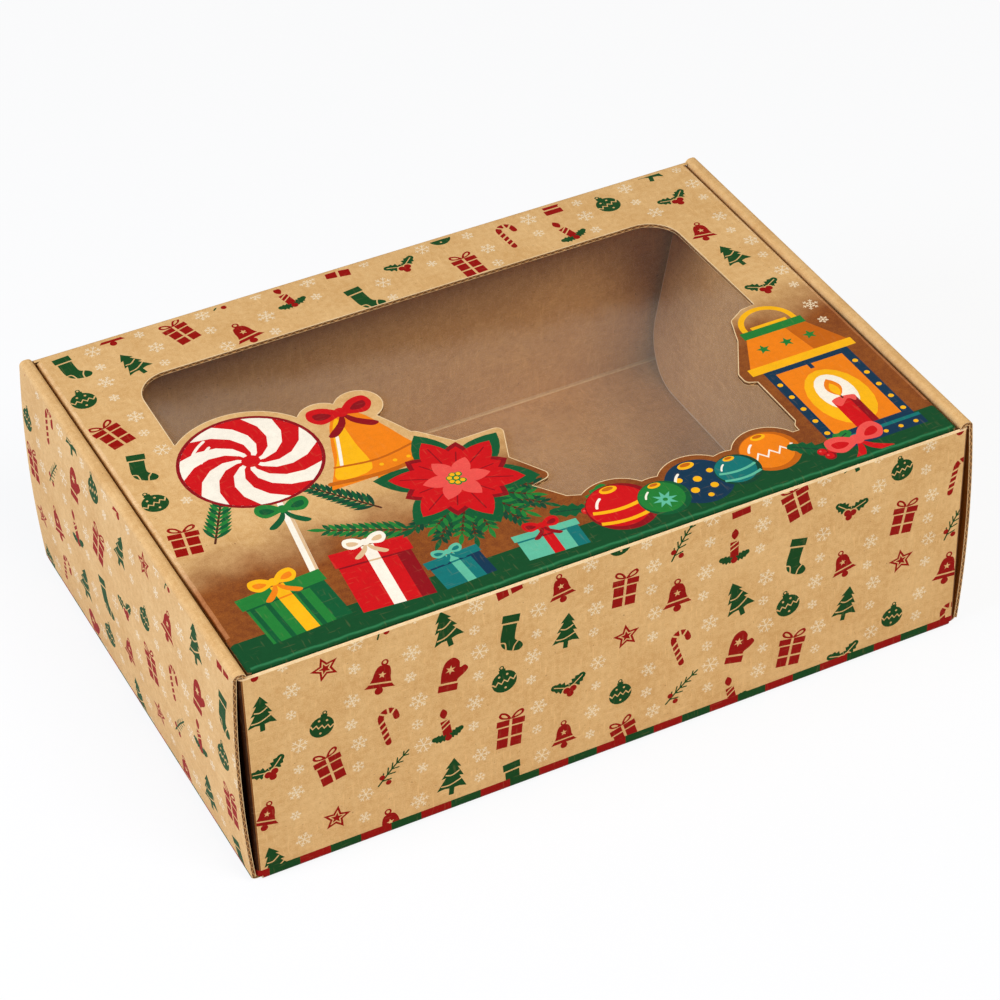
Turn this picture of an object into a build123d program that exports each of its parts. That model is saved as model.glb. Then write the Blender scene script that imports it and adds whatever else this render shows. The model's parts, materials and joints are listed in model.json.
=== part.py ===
from build123d import *
import math
import os

# A folded mailer box for sweets, cut from one sheet of thin fluted board, with a lid
# that is hinged at the back and has a window of clear film.
# X runs across the box, the front wall faces -Y and Z is up. The origin lies under the
# middle of the floor. All lengths are in millimetres and all angles in degrees.

# Overall size of the closed box, its width taken over the side walls' folds, how far
# the side walls bulge at half height, and the board that it is folded from
box_width = 304.0
side_wall_bow = 2.0
box_depth = 212.0
box_height = 100.0
board = 1.6
fold_inner_radius = 0.6

# Clearances between the layers that are folded into each other
layer_gap = 0.3
edge_gap = 0.2
flap_end_gap = 0.8
side_end_setback = 0.8
inner_wall_end_gap = 0.8

# Lid: how far it lies under the rolled side tops, how far it swings open, its running
# gaps and its creases
lid_drop = 1.0
lid_swing = 175.0
lid_side_gap = 1.0
lid_front_gap = 0.4
crease_relief = 0.2
crease_core = 0.25
mitre_relief = 0.15
stub_gap = 0.6
stub_corner_radius = 1.4

# Dust flaps that hang from the sides of the lid and lean inwards
ear_lean = 11.5
ear_floor_gap = 0.5
ear_back_gap = 3.4
ear_front_setback = 20.0
ear_swing_gap = 8.0
ear_back_corner_radius = 25.0
ear_front_corner_radius = 12.0

# Flap that tucks in behind the front wall
tuck_depth = 38.0
tuck_side_setback = 2.0
tuck_taper = 9.0
tuck_corner_radius = 8.0
tuck_swing_gap = 1.2

# Corner flaps of the front and back walls, held inside the double side walls
corner_flap_length = 60.0
corner_flap_radius = 8.0

# Tabs of the inner side walls, locked into slots in the floor
lock_tab_length = 30.0
lock_tab_gap = 0.2
lock_tab_place_shares = (-0.5, 0.5)

# Window, its clear film and the glue that holds the film under the lid
window_side_margin = 26.5
window_back_margin = 33.0
window_front_margin = 25.0
window_corner_radius = 14.0
window_splay = 1.5
film_thickness = 0.25
film_lap = 9.0
film_corner_radius = 4.0
glue_thickness = 0.1
glue_width = 5.0
glue_inset = 1.5

# The window's lower edge follows a printed still life, at a small margin. Places are
# shares of the window's half width to the right and of its depth towards the front,
# and radii are shares of its depth.
picture_margin = 3.0
ball_shares = [
    (-0.815, 0.450, 0.185),
    (-0.525, 0.375, 0.044),
    (-0.395, 0.370, 0.044),
    (0.100, 1.045, 0.090),
    (0.235, 1.065, 0.066),
    (0.370, 1.050, 0.086),
    (0.505, 1.055, 0.060),
    (0.640, 1.030, 0.078),
]
flower_centre_shares = (-0.285, 0.755)
flower_tip_share = 0.205
flower_valley_share = 0.130
flower_petals = 6
flower_turn = 35.0
bell_shares = [
    (-0.650, 0.640), (-0.560, 0.480), (-0.510, 0.400), (-0.460, 0.375),
    (-0.410, 0.400), (-0.360, 0.480), (-0.270, 0.640),
]
lantern_shares = [
    (0.800, 1.120), (0.800, 0.975), (0.815, 0.960), (0.815, 0.755), (0.780, 0.745),
    (0.780, 0.725), (0.870, 0.600), (0.885, 0.565), (0.905, 0.520), (0.955, 0.495),
    (1.200, 0.475), (1.200, 1.120),
]
ground_shares = [
    (-1.200, 0.320), (-0.985, 0.320), (-0.800, 0.440), (-0.560, 0.500), (-0.300, 0.580),
    (-0.170, 0.820), (-0.040, 0.960), (0.080, 1.000), (0.820, 1.010), (0.820, 1.200),
    (-1.200, 1.200),
]

# Planes and lines that several pieces share
fold_outer_radius = board + fold_inner_radius
side_outer = box_width / 2
side_outer_inner_face = side_outer - board
flap_outer = side_outer_inner_face - layer_gap
flap_inner = flap_outer - board
inner_wall_outer = flap_inner - layer_gap
inner_wall_face = inner_wall_outer - board
wall_outer = box_depth / 2
wall_inner = wall_outer - board
floor_top = board
floor_half_width = side_outer - fold_outer_radius
floor_half_depth = wall_outer - fold_outer_radius
end_wall_half_width = flap_outer - fold_outer_radius
side_half_depth = wall_outer - side_end_setback
roll_under = box_height - board
roll_fold_z = box_height - fold_outer_radius
lid_top = box_height - lid_drop
lid_under = lid_top - board
lid_half_width = inner_wall_face - lid_side_gap
lid_front = -(wall_inner - lid_front_gap)
hinge_y = wall_inner
ear_axis_x = lid_half_width - board
tuck_axis_y = lid_front + board
front_wall_top = lid_under
flap_bottom = floor_top + flap_end_gap
front_swing = hinge_y + wall_inner

# The back wall and the lid are cut back at their fold, so that they meet when it is open
fold_outside_angle = 270 - lid_swing
mitre_setback = board / math.tan(math.radians(fold_outside_angle / 2))

# The tuck flap leans in just enough to pass the front wall as the lid swings
tuck_reach = hinge_y - tuck_axis_y
tuck_lean_sine = (
    tuck_reach**2 + tuck_depth**2 + board**2 + 2 * tuck_reach * board
    - (front_swing - tuck_swing_gap) ** 2
) / (2 * tuck_reach * tuck_depth)
tuck_lean = math.degrees(math.asin(tuck_lean_sine))
tuck_half_width = lid_half_width - tuck_side_setback

# A dust flap is as long as its lean leaves room for above the floor
ear_drop = lid_under - floor_top - ear_floor_gap - board * math.sin(math.radians(ear_lean))
ear_length = ear_drop / math.cos(math.radians(ear_lean))
ear_back = hinge_y - ear_back_gap
ear_front = lid_front + ear_front_setback
ear_front_low = hinge_y - math.sqrt((front_swing - ear_swing_gap) ** 2 - ear_drop**2)

# The window in the lid
window_half_width = lid_half_width - window_side_margin
window_back = wall_outer - window_back_margin
window_front = lid_front + window_front_margin
window_depth = window_back - window_front

glue_under = lid_under - glue_thickness
film_under = glue_under - film_thickness
film_half_width = window_half_width + film_lap
film_back = window_back + film_lap
film_front = window_front - film_lap


def block(low, high):
    """A plain slab between two opposite corners."""
    sizes = [b - a for a, b in zip(low, high)]
    middle = [(a + b) / 2 for a, b in zip(low, high)]
    return Pos(*middle) * Box(*sizes)


def along_x(section, start, end):
    """Extrude a section drawn in Y and Z from one X place to another."""
    return extrude(Plane.YZ.offset(start) * section, amount=end - start)


def along_y(section, start, end):
    """Extrude a section drawn in X and Z from one Y place to another."""
    return extrude(Plane.XZ.offset(-end) * section, amount=end - start)


def along_z(section, start, end):
    """Extrude an outline drawn in X and Y from one height to another."""
    return extrude(Plane.XY.offset(start) * section, amount=end - start)


def polygon(points):
    """A flat face inside straight edges through the points."""
    return make_face(Polyline(*points, close=True))


def rectangle(low, high):
    """A flat rectangle between two opposite corners."""
    (x0, y0), (x1, y1) = low, high
    return polygon([(x0, y0), (x1, y0), (x1, y1), (x0, y1)])


def fold(centre, start_angle):
    """The quarter ring of a fixed fold, from start_angle on for a quarter turn."""
    ring = Circle(fold_outer_radius) - Circle(fold_inner_radius)
    quarter = Rectangle(fold_outer_radius, fold_outer_radius, align=(Align.MIN, Align.MIN))
    return Pos(*centre) * (ring & Rot(0, 0, start_angle) * quarter)


def opposite(part):
    """The same piece on the other side of the box."""
    return mirror(part, Plane.YZ)


def floor_panel():
    """The floor, with the slots that take the side walls' lock tabs."""
    floor = block(
        (-floor_half_width, -floor_half_depth, 0),
        (floor_half_width, floor_half_depth, floor_top),
    )
    for place in lock_tab_places():
        slot = block(
            (inner_wall_face - lock_tab_gap, place - lock_tab_length / 2 - lock_tab_gap, 0),
            (inner_wall_outer + lock_tab_gap, place + lock_tab_length / 2 + lock_tab_gap, floor_top),
        )
        floor = floor - slot - opposite(slot)
    return floor


def lock_tab_places():
    """Y places of the middles of the lock tabs."""
    return [share * floor_half_depth for share in lock_tab_place_shares]


def end_wall(top):
    """The front wall: a plate with a rounded fold below and one at each upright edge."""
    plate = block(
        (-end_wall_half_width, -wall_outer, fold_outer_radius),
        (end_wall_half_width, -wall_inner, top),
    )
    floor_fold = along_x(
        fold((-floor_half_depth, fold_outer_radius), 180),
        -end_wall_half_width,
        end_wall_half_width,
    )
    corner_fold = along_z(
        fold((end_wall_half_width, -floor_half_depth), 270), flap_bottom, top
    )
    return plate + floor_fold + corner_fold + opposite(corner_fold)


def front_wall():
    """The printed front wall, with a plain cut edge on top."""
    return end_wall(front_wall_top)


def back_wall():
    """The back wall, mitred on top so that the lid can lie all the way back."""
    top = lid_under - mitre_relief
    wall = mirror(end_wall(top), Plane.XZ)
    mitre = along_x(
        polygon([(wall_inner, top), (wall_outer, top - mitre_setback), (wall_outer, top)]),
        -side_outer,
        side_outer,
    )
    return wall - mitre


def corner_flap(top):
    """The front right corner flap, in the gap of the double side wall."""
    start = -floor_half_depth
    outline = rectangle((start, flap_bottom), (start + corner_flap_length, top))
    free_end = outline.vertices().sort_by(Axis.X)[-2:]
    outline = fillet(free_end, corner_flap_radius)
    return along_x(outline, flap_inner, flap_outer)


def side_outer_wall():
    """The right outer wall, which bulges a little, and its fold from the floor."""
    middle = (fold_outer_radius + roll_fold_z) / 2
    outer_face = ThreePointArc(
        (side_outer, fold_outer_radius),
        (side_outer + side_wall_bow, middle),
        (side_outer, roll_fold_z),
    )
    inner_face = ThreePointArc(
        (side_outer_inner_face, roll_fold_z),
        (side_outer_inner_face + side_wall_bow, middle),
        (side_outer_inner_face, fold_outer_radius),
    )
    top = Line(outer_face @ 1, inner_face @ 0)
    bottom = Line(inner_face @ 1, outer_face @ 0)
    section = make_face([outer_face, top, inner_face, bottom])
    plate = along_y(section, -side_half_depth, side_half_depth)
    floor_fold = along_y(
        fold((floor_half_width, fold_outer_radius), 270), -floor_half_depth, floor_half_depth
    )
    return plate + floor_fold


def side_roll_top():
    """The narrow top of the right wall, rolled over the corner flaps."""
    inner_centre_x = inner_wall_face + fold_outer_radius
    strip = rectangle((inner_centre_x, roll_under), (floor_half_width, box_height))
    outer_fold = fold((floor_half_width, roll_fold_z), 0)
    inner_fold = fold((inner_centre_x, roll_fold_z), 90)
    return along_y(strip + outer_fold + inner_fold, -side_half_depth, side_half_depth)


def side_inner_wall():
    """The right inner wall, whose tabs lock into the floor."""
    half_depth = wall_inner - inner_wall_end_gap
    wall = block(
        (inner_wall_face, -half_depth, floor_top + edge_gap),
        (inner_wall_outer, half_depth, roll_fold_z),
    )
    for place in lock_tab_places():
        wall = wall + block(
            (inner_wall_face, place - lock_tab_length / 2, edge_gap),
            (inner_wall_outer, place + lock_tab_length / 2, floor_top + edge_gap),
        )
    return wall


def window_point(across, down):
    """A point of the window in X and Y, from its shares."""
    return across * window_half_width, window_back - down * window_depth


def still_life():
    """The board that stands up into the window, with the outline of the print."""
    shapes = polygon([window_point(*place) for place in ground_shares])
    for across, down, radius in ball_shares:
        shapes += Pos(*window_point(across, down)) * Circle(radius * window_depth)
    shapes += polygon([window_point(*place) for place in bell_shares])
    shapes += polygon([window_point(*place) for place in lantern_shares])
    centre = window_point(*flower_centre_shares)
    corners = []
    for step in range(2 * flower_petals):
        share = flower_valley_share if step % 2 else flower_tip_share
        angle = math.radians(flower_turn + 180 * step / flower_petals)
        radius = share * window_depth
        corners.append(
            (centre[0] + radius * math.cos(angle), centre[1] + radius * math.sin(angle))
        )
    return offset(shapes + polygon(corners), picture_margin, kind=Kind.ARC)


def window_outline():
    """The window's opening: a box with rounded back corners, cut off by the still life."""
    frame = polygon([
        (-window_half_width - window_splay, window_front),
        (window_half_width + window_splay, window_front),
        (window_half_width - window_splay, window_back),
        (-window_half_width + window_splay, window_back),
    ])
    back_corners = frame.vertices().sort_by(Axis.Y)[-2:]
    return fillet(back_corners, window_corner_radius) - still_life()


def lid_panel():
    """The lid with its window, flush stubs at its corners and a mitred back edge."""
    side = ear_axis_x - crease_relief
    front = tuck_axis_y + crease_relief
    back = hinge_y - mitre_relief
    stub_half_width = tuck_half_width + stub_gap
    stub_back = ear_front - stub_gap
    outline = rectangle((-side, front), (side, back))
    stub = rectangle((stub_half_width, lid_front), (lid_half_width, stub_back))
    outer_corner = stub.vertices().sort_by(Axis.Y)[:2].sort_by(Axis.X)[-1]
    stub = fillet(outer_corner, stub_corner_radius)
    stub = stub + rectangle((side, front), (lid_half_width, stub_back))
    back_stubs = rectangle((-lid_half_width, ear_back + stub_gap), (lid_half_width, back))
    outline = outline + stub + opposite(stub) + back_stubs - window_outline()
    lid = along_z(outline, lid_under, lid_top)
    mitre = along_x(
        polygon([(back, lid_under), (back, lid_top), (back - mitre_setback, lid_top)]),
        -side_outer,
        side_outer,
    )
    return lid - mitre


def film_outline(inset):
    """The film's rounded rectangle, drawn in by an inset."""
    outline = rectangle(
        (-film_half_width + inset, film_front + inset),
        (film_half_width - inset, film_back - inset),
    )
    return fillet(outline.vertices(), film_corner_radius)


def window_film():
    """Clear film across the window, under the lid."""
    return along_z(film_outline(0), film_under, glue_under)


def window_glue():
    """The line of glue around the film."""
    ring = film_outline(glue_inset) - film_outline(glue_inset + glue_width)
    return along_z(ring, glue_under, lid_under)


def crease(origin, x_dir, z_dir, lean, half_length):
    """The soft bend between a panel and a flap that hangs from it at a lean.

    The panel comes from the left and ends before the crease line, which is the origin.
    """
    turn = math.radians(90 + lean)
    along = Vector(math.cos(turn), -math.sin(turn))
    out = Vector(math.sin(turn), math.cos(turn))
    half_out = Vector(math.sin(turn / 2), math.cos(turn / 2))
    up = Vector(0, 1)
    back = Vector(-crease_relief, 0)
    edge = [
        Line(back + up * crease_core, back + up * board),
        Line(back + up * board, up * board),
        ThreePointArc(up * board, half_out * board, out * board),
        Line(out * board, out * board + along * crease_relief),
        Line(out * board + along * crease_relief, out * crease_core + along * crease_relief),
        Line(out * crease_core + along * crease_relief, out * crease_core),
        ThreePointArc(out * crease_core, half_out * crease_core, up * crease_core),
        Line(up * crease_core, back + up * crease_core),
    ]
    section = make_face(edge)
    plane = Plane(origin=origin, x_dir=x_dir, z_dir=z_dir)
    return extrude(plane * section, amount=half_length, both=True)


def lid_hinge_crease():
    """The soft bend between the back wall and the lid."""
    wall_end = lid_under - mitre_relief
    lid_end = hinge_y - mitre_relief
    arc_y = wall_outer - fold_outer_radius
    arc_z = lid_top - fold_outer_radius
    reach = fold_outer_radius * math.sqrt(0.5)
    edge = [
        Line((wall_inner, wall_end), (wall_outer, wall_end - mitre_setback)),
        Line((wall_outer, wall_end - mitre_setback), (wall_outer, arc_z)),
        ThreePointArc((wall_outer, arc_z), (arc_y + reach, arc_z + reach), (arc_y, lid_top)),
        Line((arc_y, lid_top), (lid_end - mitre_setback, lid_top)),
        Line((lid_end - mitre_setback, lid_top), (lid_end, lid_under)),
        Line((lid_end, lid_under), (wall_inner, wall_end)),
    ]
    return along_x(make_face(edge), -lid_half_width, lid_half_width)


def ear():
    """The right dust flap, cut upright and then leant in about its crease."""
    top = lid_under - crease_relief
    low = lid_under - ear_length
    outline = polygon([(ear_front, top), (ear_front_low, low), (ear_back, low), (ear_back, top)])
    low_corners = outline.vertices().sort_by(Axis.Y)[:2].sort_by(Axis.X)
    outline = fillet(low_corners[0], ear_front_corner_radius)
    back_corner = outline.vertices().group_by(Axis.Y)[0].sort_by(Axis.X)[-1]
    outline = fillet(back_corner, ear_back_corner_radius)
    flap = along_x(outline, ear_axis_x, lid_half_width)
    return flap.rotate(Axis((ear_axis_x, 0, lid_under), (0, 1, 0)), ear_lean)


def ear_crease():
    """The soft bend between the lid and the right dust flap."""
    middle = (ear_front + ear_back) / 2
    half_length = (ear_back - ear_front) / 2
    origin = (ear_axis_x, middle, lid_under)
    return crease(origin, (1, 0, 0), (0, -1, 0), ear_lean, half_length)


def tuck_flap():
    """The tuck flap, cut upright and then leant in about its crease."""
    top = lid_under - crease_relief
    low = lid_under - tuck_depth
    low_half_width = tuck_half_width - tuck_taper
    outline = polygon([
        (-low_half_width, low), (low_half_width, low),
        (tuck_half_width, top), (-tuck_half_width, top),
    ])
    outline = fillet(outline.vertices().sort_by(Axis.Y)[:2], tuck_corner_radius)
    flap = along_y(outline, lid_front, tuck_axis_y)
    return flap.rotate(Axis((0, tuck_axis_y, lid_under), (1, 0, 0)), tuck_lean)


def tuck_flap_crease():
    """The soft bend between the lid and the tuck flap."""
    origin = (0, tuck_axis_y, lid_under)
    return crease(origin, (0, -1, 0), (-1, 0, 0), tuck_lean, tuck_half_width)


def pieces():
    """Every piece of the box by name."""
    front_flap = corner_flap(front_wall_top)
    back_flap = mirror(corner_flap(lid_under - mitre_relief - mitre_setback), Plane.XZ)
    outer_wall = side_outer_wall()
    roll_top = side_roll_top()
    inner_wall = side_inner_wall()
    right_ear = ear()
    right_ear_crease = ear_crease()
    return {
        "floor_panel": floor_panel(),
        "front_wall": front_wall(),
        "back_wall": back_wall(),
        "front_right_corner_flap": front_flap,
        "front_left_corner_flap": opposite(front_flap),
        "back_right_corner_flap": back_flap,
        "back_left_corner_flap": opposite(back_flap),
        "right_outer_wall": outer_wall,
        "left_outer_wall": opposite(outer_wall),
        "right_roll_top": roll_top,
        "left_roll_top": opposite(roll_top),
        "right_inner_wall": inner_wall,
        "left_inner_wall": opposite(inner_wall),
        "lid_panel": lid_panel(),
        "window_film": window_film(),
        "window_glue": window_glue(),
        "lid_hinge_crease": lid_hinge_crease(),
        "tuck_flap": tuck_flap(),
        "tuck_flap_crease": tuck_flap_crease(),
        "right_ear": right_ear,
        "left_ear": opposite(right_ear),
        "right_ear_crease": right_ear_crease,
        "left_ear_crease": opposite(right_ear_crease),
    }


os.makedirs("parts", exist_ok=True)
for name, solid in pieces().items():
    export_step(solid, f"parts/{name}.step")

print(f"lid hinge y {hinge_y:.3f} z {lid_under:.3f}")
print(f"dust flap hinge x {ear_axis_x:.3f}, length {ear_length:.2f}")
print(f"tuck flap hinge y {tuck_axis_y:.3f}, lean {tuck_lean:.3f}")
print(f"film {2 * film_half_width:.1f} by {film_back - film_front:.1f}")
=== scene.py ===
import json
import math

import bpy
from mathutils import Matrix, Vector
from mathutils.geometry import delaunay_2d_cdt


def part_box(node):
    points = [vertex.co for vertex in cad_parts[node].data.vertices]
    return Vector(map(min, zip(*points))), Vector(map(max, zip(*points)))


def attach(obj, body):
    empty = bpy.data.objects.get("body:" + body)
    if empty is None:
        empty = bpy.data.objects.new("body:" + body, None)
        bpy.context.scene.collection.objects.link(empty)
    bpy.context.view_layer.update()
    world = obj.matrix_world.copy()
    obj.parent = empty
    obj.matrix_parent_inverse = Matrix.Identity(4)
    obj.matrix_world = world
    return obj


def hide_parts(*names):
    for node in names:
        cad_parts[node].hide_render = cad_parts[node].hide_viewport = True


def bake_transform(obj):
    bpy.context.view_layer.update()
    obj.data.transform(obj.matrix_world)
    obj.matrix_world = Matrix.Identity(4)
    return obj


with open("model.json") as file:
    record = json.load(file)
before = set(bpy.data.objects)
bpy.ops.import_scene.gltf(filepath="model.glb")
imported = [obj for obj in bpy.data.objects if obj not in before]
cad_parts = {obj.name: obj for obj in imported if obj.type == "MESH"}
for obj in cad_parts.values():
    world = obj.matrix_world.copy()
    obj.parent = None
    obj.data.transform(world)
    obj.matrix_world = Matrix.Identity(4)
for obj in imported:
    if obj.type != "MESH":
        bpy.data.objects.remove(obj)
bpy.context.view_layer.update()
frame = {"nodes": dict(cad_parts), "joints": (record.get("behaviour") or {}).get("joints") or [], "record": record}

# A folded kraft mailer for sweets. Lengths in this script are millimetres until a mesh,
# a lamp or the camera is made. Angles that a function takes are degrees.
MM = 0.001
QUARTER = math.pi / 2
FOLD_STEPS = 8


def box_mm(node):
    """Lowest and highest corner of a CAD node, in millimetres."""
    return [[c / MM for c in corner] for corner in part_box(node)]


def joint(name):
    """A joint's place in millimetres and its whole range in degrees."""
    found = next(j for j in frame["joints"] if j["name"] == name)
    return [c / MM for c in found["pos_m"]], found["range_deg"][1]


floor_low, floor_high = box_mm("floor_panel")
front_low, front_high = box_mm("front_wall")
back_high = box_mm("back_wall")[1]
wall_high = box_mm("right_outer_wall")[1]
roll_low, roll_high = box_mm("right_roll_top")
flap_bottom = box_mm("front_right_corner_flap")[0][2]
lid_top = box_mm("lid_panel")[1][2]
film_low, film_high = box_mm("window_film")
ear_crease_low, ear_crease_high = box_mm("right_ear_crease")
tuck_crease_high = box_mm("tuck_flap_crease")[1]
lid_hinge, lid_swing = joint("lid_hinge")
tuck_hinge = joint("tuck_flap_fold")[0]

board = floor_high[2] - floor_low[2]
fold_radius = front_high[1] - front_low[1]
fold_length = fold_radius * QUARTER
wall_outer = -front_low[1]
end_fold_x = front_high[0] - fold_radius
side_outer = roll_high[0]
side_bow = wall_high[0] - side_outer
mitre_setback = board / math.tan(math.radians((270 - lid_swing) / 2))

# The board's make-up: its two liners and the waves of the core between them
liner = 0.24
core_recess = 0.2
flute_pitch = 3.4
# Where the board is crushed round, or squeezed to a slanting rim with a painted highlight
crushed_round = 0.15
rim_height = 0.5
rim_width = 1.5

# Inks and papers as they print, and colours of painted shade and painted highlights, in red, green and blue of 0
# to 255
KRAFT_LIGHT = (222, 180, 120)
KRAFT_DARK = (200, 152, 90)
INSIDE_LIGHT = (208, 158, 96)
INSIDE_DARK = (182, 130, 72)
BROWN_LIGHT = (146, 80, 26)
BROWN_DARK = (108, 50, 14)
INKS = {
    "red": (148, 9, 1),
    "green": (18, 66, 24),
    "white": (236, 212, 172),
    "cherry": (205, 18, 22),
    "wine": (140, 14, 22),
    "rose": (235, 82, 72),
    "leaf": (34, 120, 48),
    "fir": (14, 84, 44),
    "spruce": (16, 62, 40),
    "band": (16, 70, 34),
    # Painted highlights of the tuck fold, partly print worn lighter
    "worn band": (26, 92, 50),
    "rubbed band": (44, 112, 68),
    # Painted shade for the gaps at the corners
    "recess": (52, 24, 5),
    "recess edge": (128, 78, 34),
    "deep recess": (16, 5, 1),
    "wall recess": (170, 88, 26),
    "mint": (96, 184, 148),
    "teal": (20, 112, 106),
    "gold": (250, 180, 20),
    "amber": (240, 128, 20),
    "bronze": (196, 98, 16),
    "navy": (16, 50, 72),
    "cream": (250, 238, 214),
    "sand": (222, 184, 136),
    "bark": (78, 36, 18),
}


def linear(colour):
    """A colour of 0 to 255 as the linear values that shaders take."""
    shares = [c / 255 for c in colour]
    return [c / 12.92 if c <= 0.04045 else ((c + 0.055) / 1.055) ** 2.4 for c in shares] + [1]


# Materials


class Graph:
    """Adds shader nodes to a tree and joins them as they are made."""

    def __init__(self, tree):
        self.tree = tree
        tree.nodes.clear()

    def node(self, kind, inputs=(), **settings):
        made = self.tree.nodes.new("ShaderNode" + kind)
        for key, value in settings.items():
            setattr(made, key, value)
        for socket, value in dict(inputs).items():
            if isinstance(value, bpy.types.NodeSocket):
                self.tree.links.new(value, made.inputs[socket])
            else:
                made.inputs[socket].default_value = value
        return made

    def math(self, operation, a, b=0.0, c=0.0):
        return self.node("Math", {0: a, 1: b, 2: c}, operation=operation).outputs[0]

    def mix(self, share, a, b):
        return self.node("Mix", {0: share, 6: a, 7: b}, data_type="RGBA").outputs[2]

    def mix_shaders(self, share, first, second):
        return self.node("MixShader", {0: share, 1: first.outputs[0], 2: second.outputs[0]})

    def noise(self, place, scale, detail=2.0, roughness=0.5):
        inputs = {"Vector": place, "Scale": scale, "Detail": detail, "Roughness": roughness}
        return self.node("TexNoise", inputs).outputs["Fac"]

    def stretched(self, place, scale, turn):
        inputs = {"Vector": place, "Rotation": (0, 0, math.radians(turn)), "Scale": scale}
        return self.node("Mapping", inputs).outputs["Vector"]

    def ramp(self, value, low, high):
        inputs = {"Value": value, "From Min": low, "From Max": high}
        made = self.node("MapRange", inputs, interpolation_type="SMOOTHSTEP")
        return made.outputs["Result"]

    def sheet(self):
        """The place on the flat sheet: across the flutes, along them, and depth."""
        return self.node("Attribute", attribute_name="sheet").outputs["Vector"]

    def parts(self, vector):
        return self.node("SeparateXYZ", {"Vector": vector}).outputs

    def seen(self):
        """One for what the camera sees, also by gloss and through film, and else zero."""
        path = self.node("LightPath").outputs
        seen = self.math("MAXIMUM", path["Is Camera Ray"], path["Is Glossy Ray"])
        return self.math("MAXIMUM", seen, path["Is Transmission Ray"])


def paper_grain():
    """Group with the look of recycled paper: cloudy tone, fibres, flecks, ribs and relief."""
    tree = bpy.data.node_groups.new("paper grain", "ShaderNodeTree")
    g = Graph(tree)
    sheet = g.sheet()
    cloud = g.noise(sheet, 0.05, 3.0)
    mottle = g.noise(sheet, 0.38, 5.0, 0.62)
    fine = g.noise(sheet, 2.1, 2.0)
    tone = g.math("MULTIPLY_ADD", cloud, 0.5, g.math("MULTIPLY", mottle, 0.65))
    tone = g.math("MULTIPLY_ADD", fine, 0.65, tone)
    long_fibre = g.noise(g.stretched(sheet, (0.9, 0.13, 1), 24), 1.0, 1.0)
    cross_fibre = g.noise(g.stretched(sheet, (0.15, 1.0, 1), -18), 1.0, 1.0)
    phase = g.math("MULTIPLY", g.parts(sheet)["X"], 2 * math.pi / flute_pitch)
    rib = g.math("SINE", g.math("ADD", phase, g.math("MULTIPLY", cloud, 1.6)))
    relief = g.math("MULTIPLY_ADD", rib, 0.07, g.math("MULTIPLY", mottle, 0.4))
    made = {
        "Tone": g.ramp(tone, 0.62, 1.18),
        "Fibre": g.math("MAXIMUM", g.ramp(long_fibre, 0.62, 0.74), g.ramp(cross_fibre, 0.64, 0.75)),
        "Fleck": g.ramp(g.noise(sheet, 0.95, 1.0, 0.3), 0.735, 0.79),
        "Rib": rib,
        "Relief": g.math("MULTIPLY_ADD", fine, 0.45, relief),
    }
    out = tree.nodes.new("NodeGroupOutput")
    for name, value in made.items():
        tree.interface.new_socket(name=name, in_out="OUTPUT", socket_type="NodeSocketFloat")
        tree.links.new(value, out.inputs[name])
    return tree


GRAIN = paper_grain()


def new_material(name, shader_in):
    """A material with the shader that a function adds to its graph."""
    material = bpy.data.materials.new(name)
    material.use_nodes = True
    g = Graph(material.node_tree)
    g.node("OutputMaterial", {"Surface": shader_in(g).outputs[0]})
    return material


def paper_material(name, colour_in, roughness, relief, gloss=0.25):
    """Matt paper with its relief, and the colour that a function makes from its grain."""
    def shader_in(g):
        grain = g.node("Group", node_tree=GRAIN).outputs
        bump = {"Height": grain["Relief"], "Strength": relief, "Distance": 0.12 * MM}
        return g.node("BsdfPrincipled", {
            "Base Color": colour_in(g, grain), "Normal": g.node("Bump", bump).outputs["Normal"],
            "Roughness": roughness, "Specular IOR Level": gloss,
        })
    return new_material(name, shader_in)


def kraft_colour(g, grain, light, dark):
    """Unprinted paper: cloudy, with pale fibres, dark flecks and faint ribs."""
    colour = g.mix(grain["Tone"], linear(dark), linear(light))
    pale = [min(1.0, c * 1.12) for c in linear(light)[:3]] + [1]
    colour = g.mix(g.math("MULTIPLY", grain["Fibre"], 0.4), colour, pale)
    rib = g.math("MULTIPLY_ADD", grain["Rib"], 0.012, 0.012)
    colour = g.mix(rib, colour, linear((120, 82, 44)))
    return g.mix(g.math("MULTIPLY", grain["Fleck"], 0.5), colour, linear((128, 86, 46)))


def kraft_material(name, light, dark, roughness=0.78, relief=0.55):
    def colour_in(g, grain):
        return kraft_colour(g, grain, light, dark)
    return paper_material(name, colour_in, roughness, relief)


def lid_material(name, brown_light, brown_dark, paper_light=KRAFT_LIGHT):
    """The lid's paper, with a brown print that fades in towards the front."""
    def colour_in(g, grain):
        sheet = g.sheet()
        x, y, _ = g.parts(sheet)
        rightness = g.ramp(x, fade_left_x, fade_right_x)
        middle = g.math("MULTIPLY_ADD", rightness, fade_right_y - fade_left_y, fade_left_y)
        drift = g.math("MULTIPLY_ADD", g.noise(sheet, 0.06, 3.0), fade_drift, -fade_drift / 2)
        reach = g.math("ADD", g.math("SUBTRACT", middle, y), drift)
        share = g.ramp(reach, -fade_width / 2, fade_width / 2)
        brown = g.mix(grain["Tone"], linear(brown_dark), linear(brown_light))
        return g.mix(share, kraft_colour(g, grain, paper_light, KRAFT_DARK), brown)
    return paper_material(name, colour_in, 0.6, 0.45, 0.12)


def ink_material(name, colour):
    """Ink on kraft: the paper's cloudy tone and a few fibres show through."""
    def colour_in(g, grain):
        deep = [c * 0.84 for c in linear(colour)[:3]] + [1]
        printed = g.mix(grain["Tone"], deep, linear(colour))
        return g.mix(g.math("MULTIPLY", grain["Fibre"], 0.05), printed, linear(KRAFT_LIGHT))
    return paper_material(name, colour_in, 0.55, 0.4, 0.06)


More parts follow.
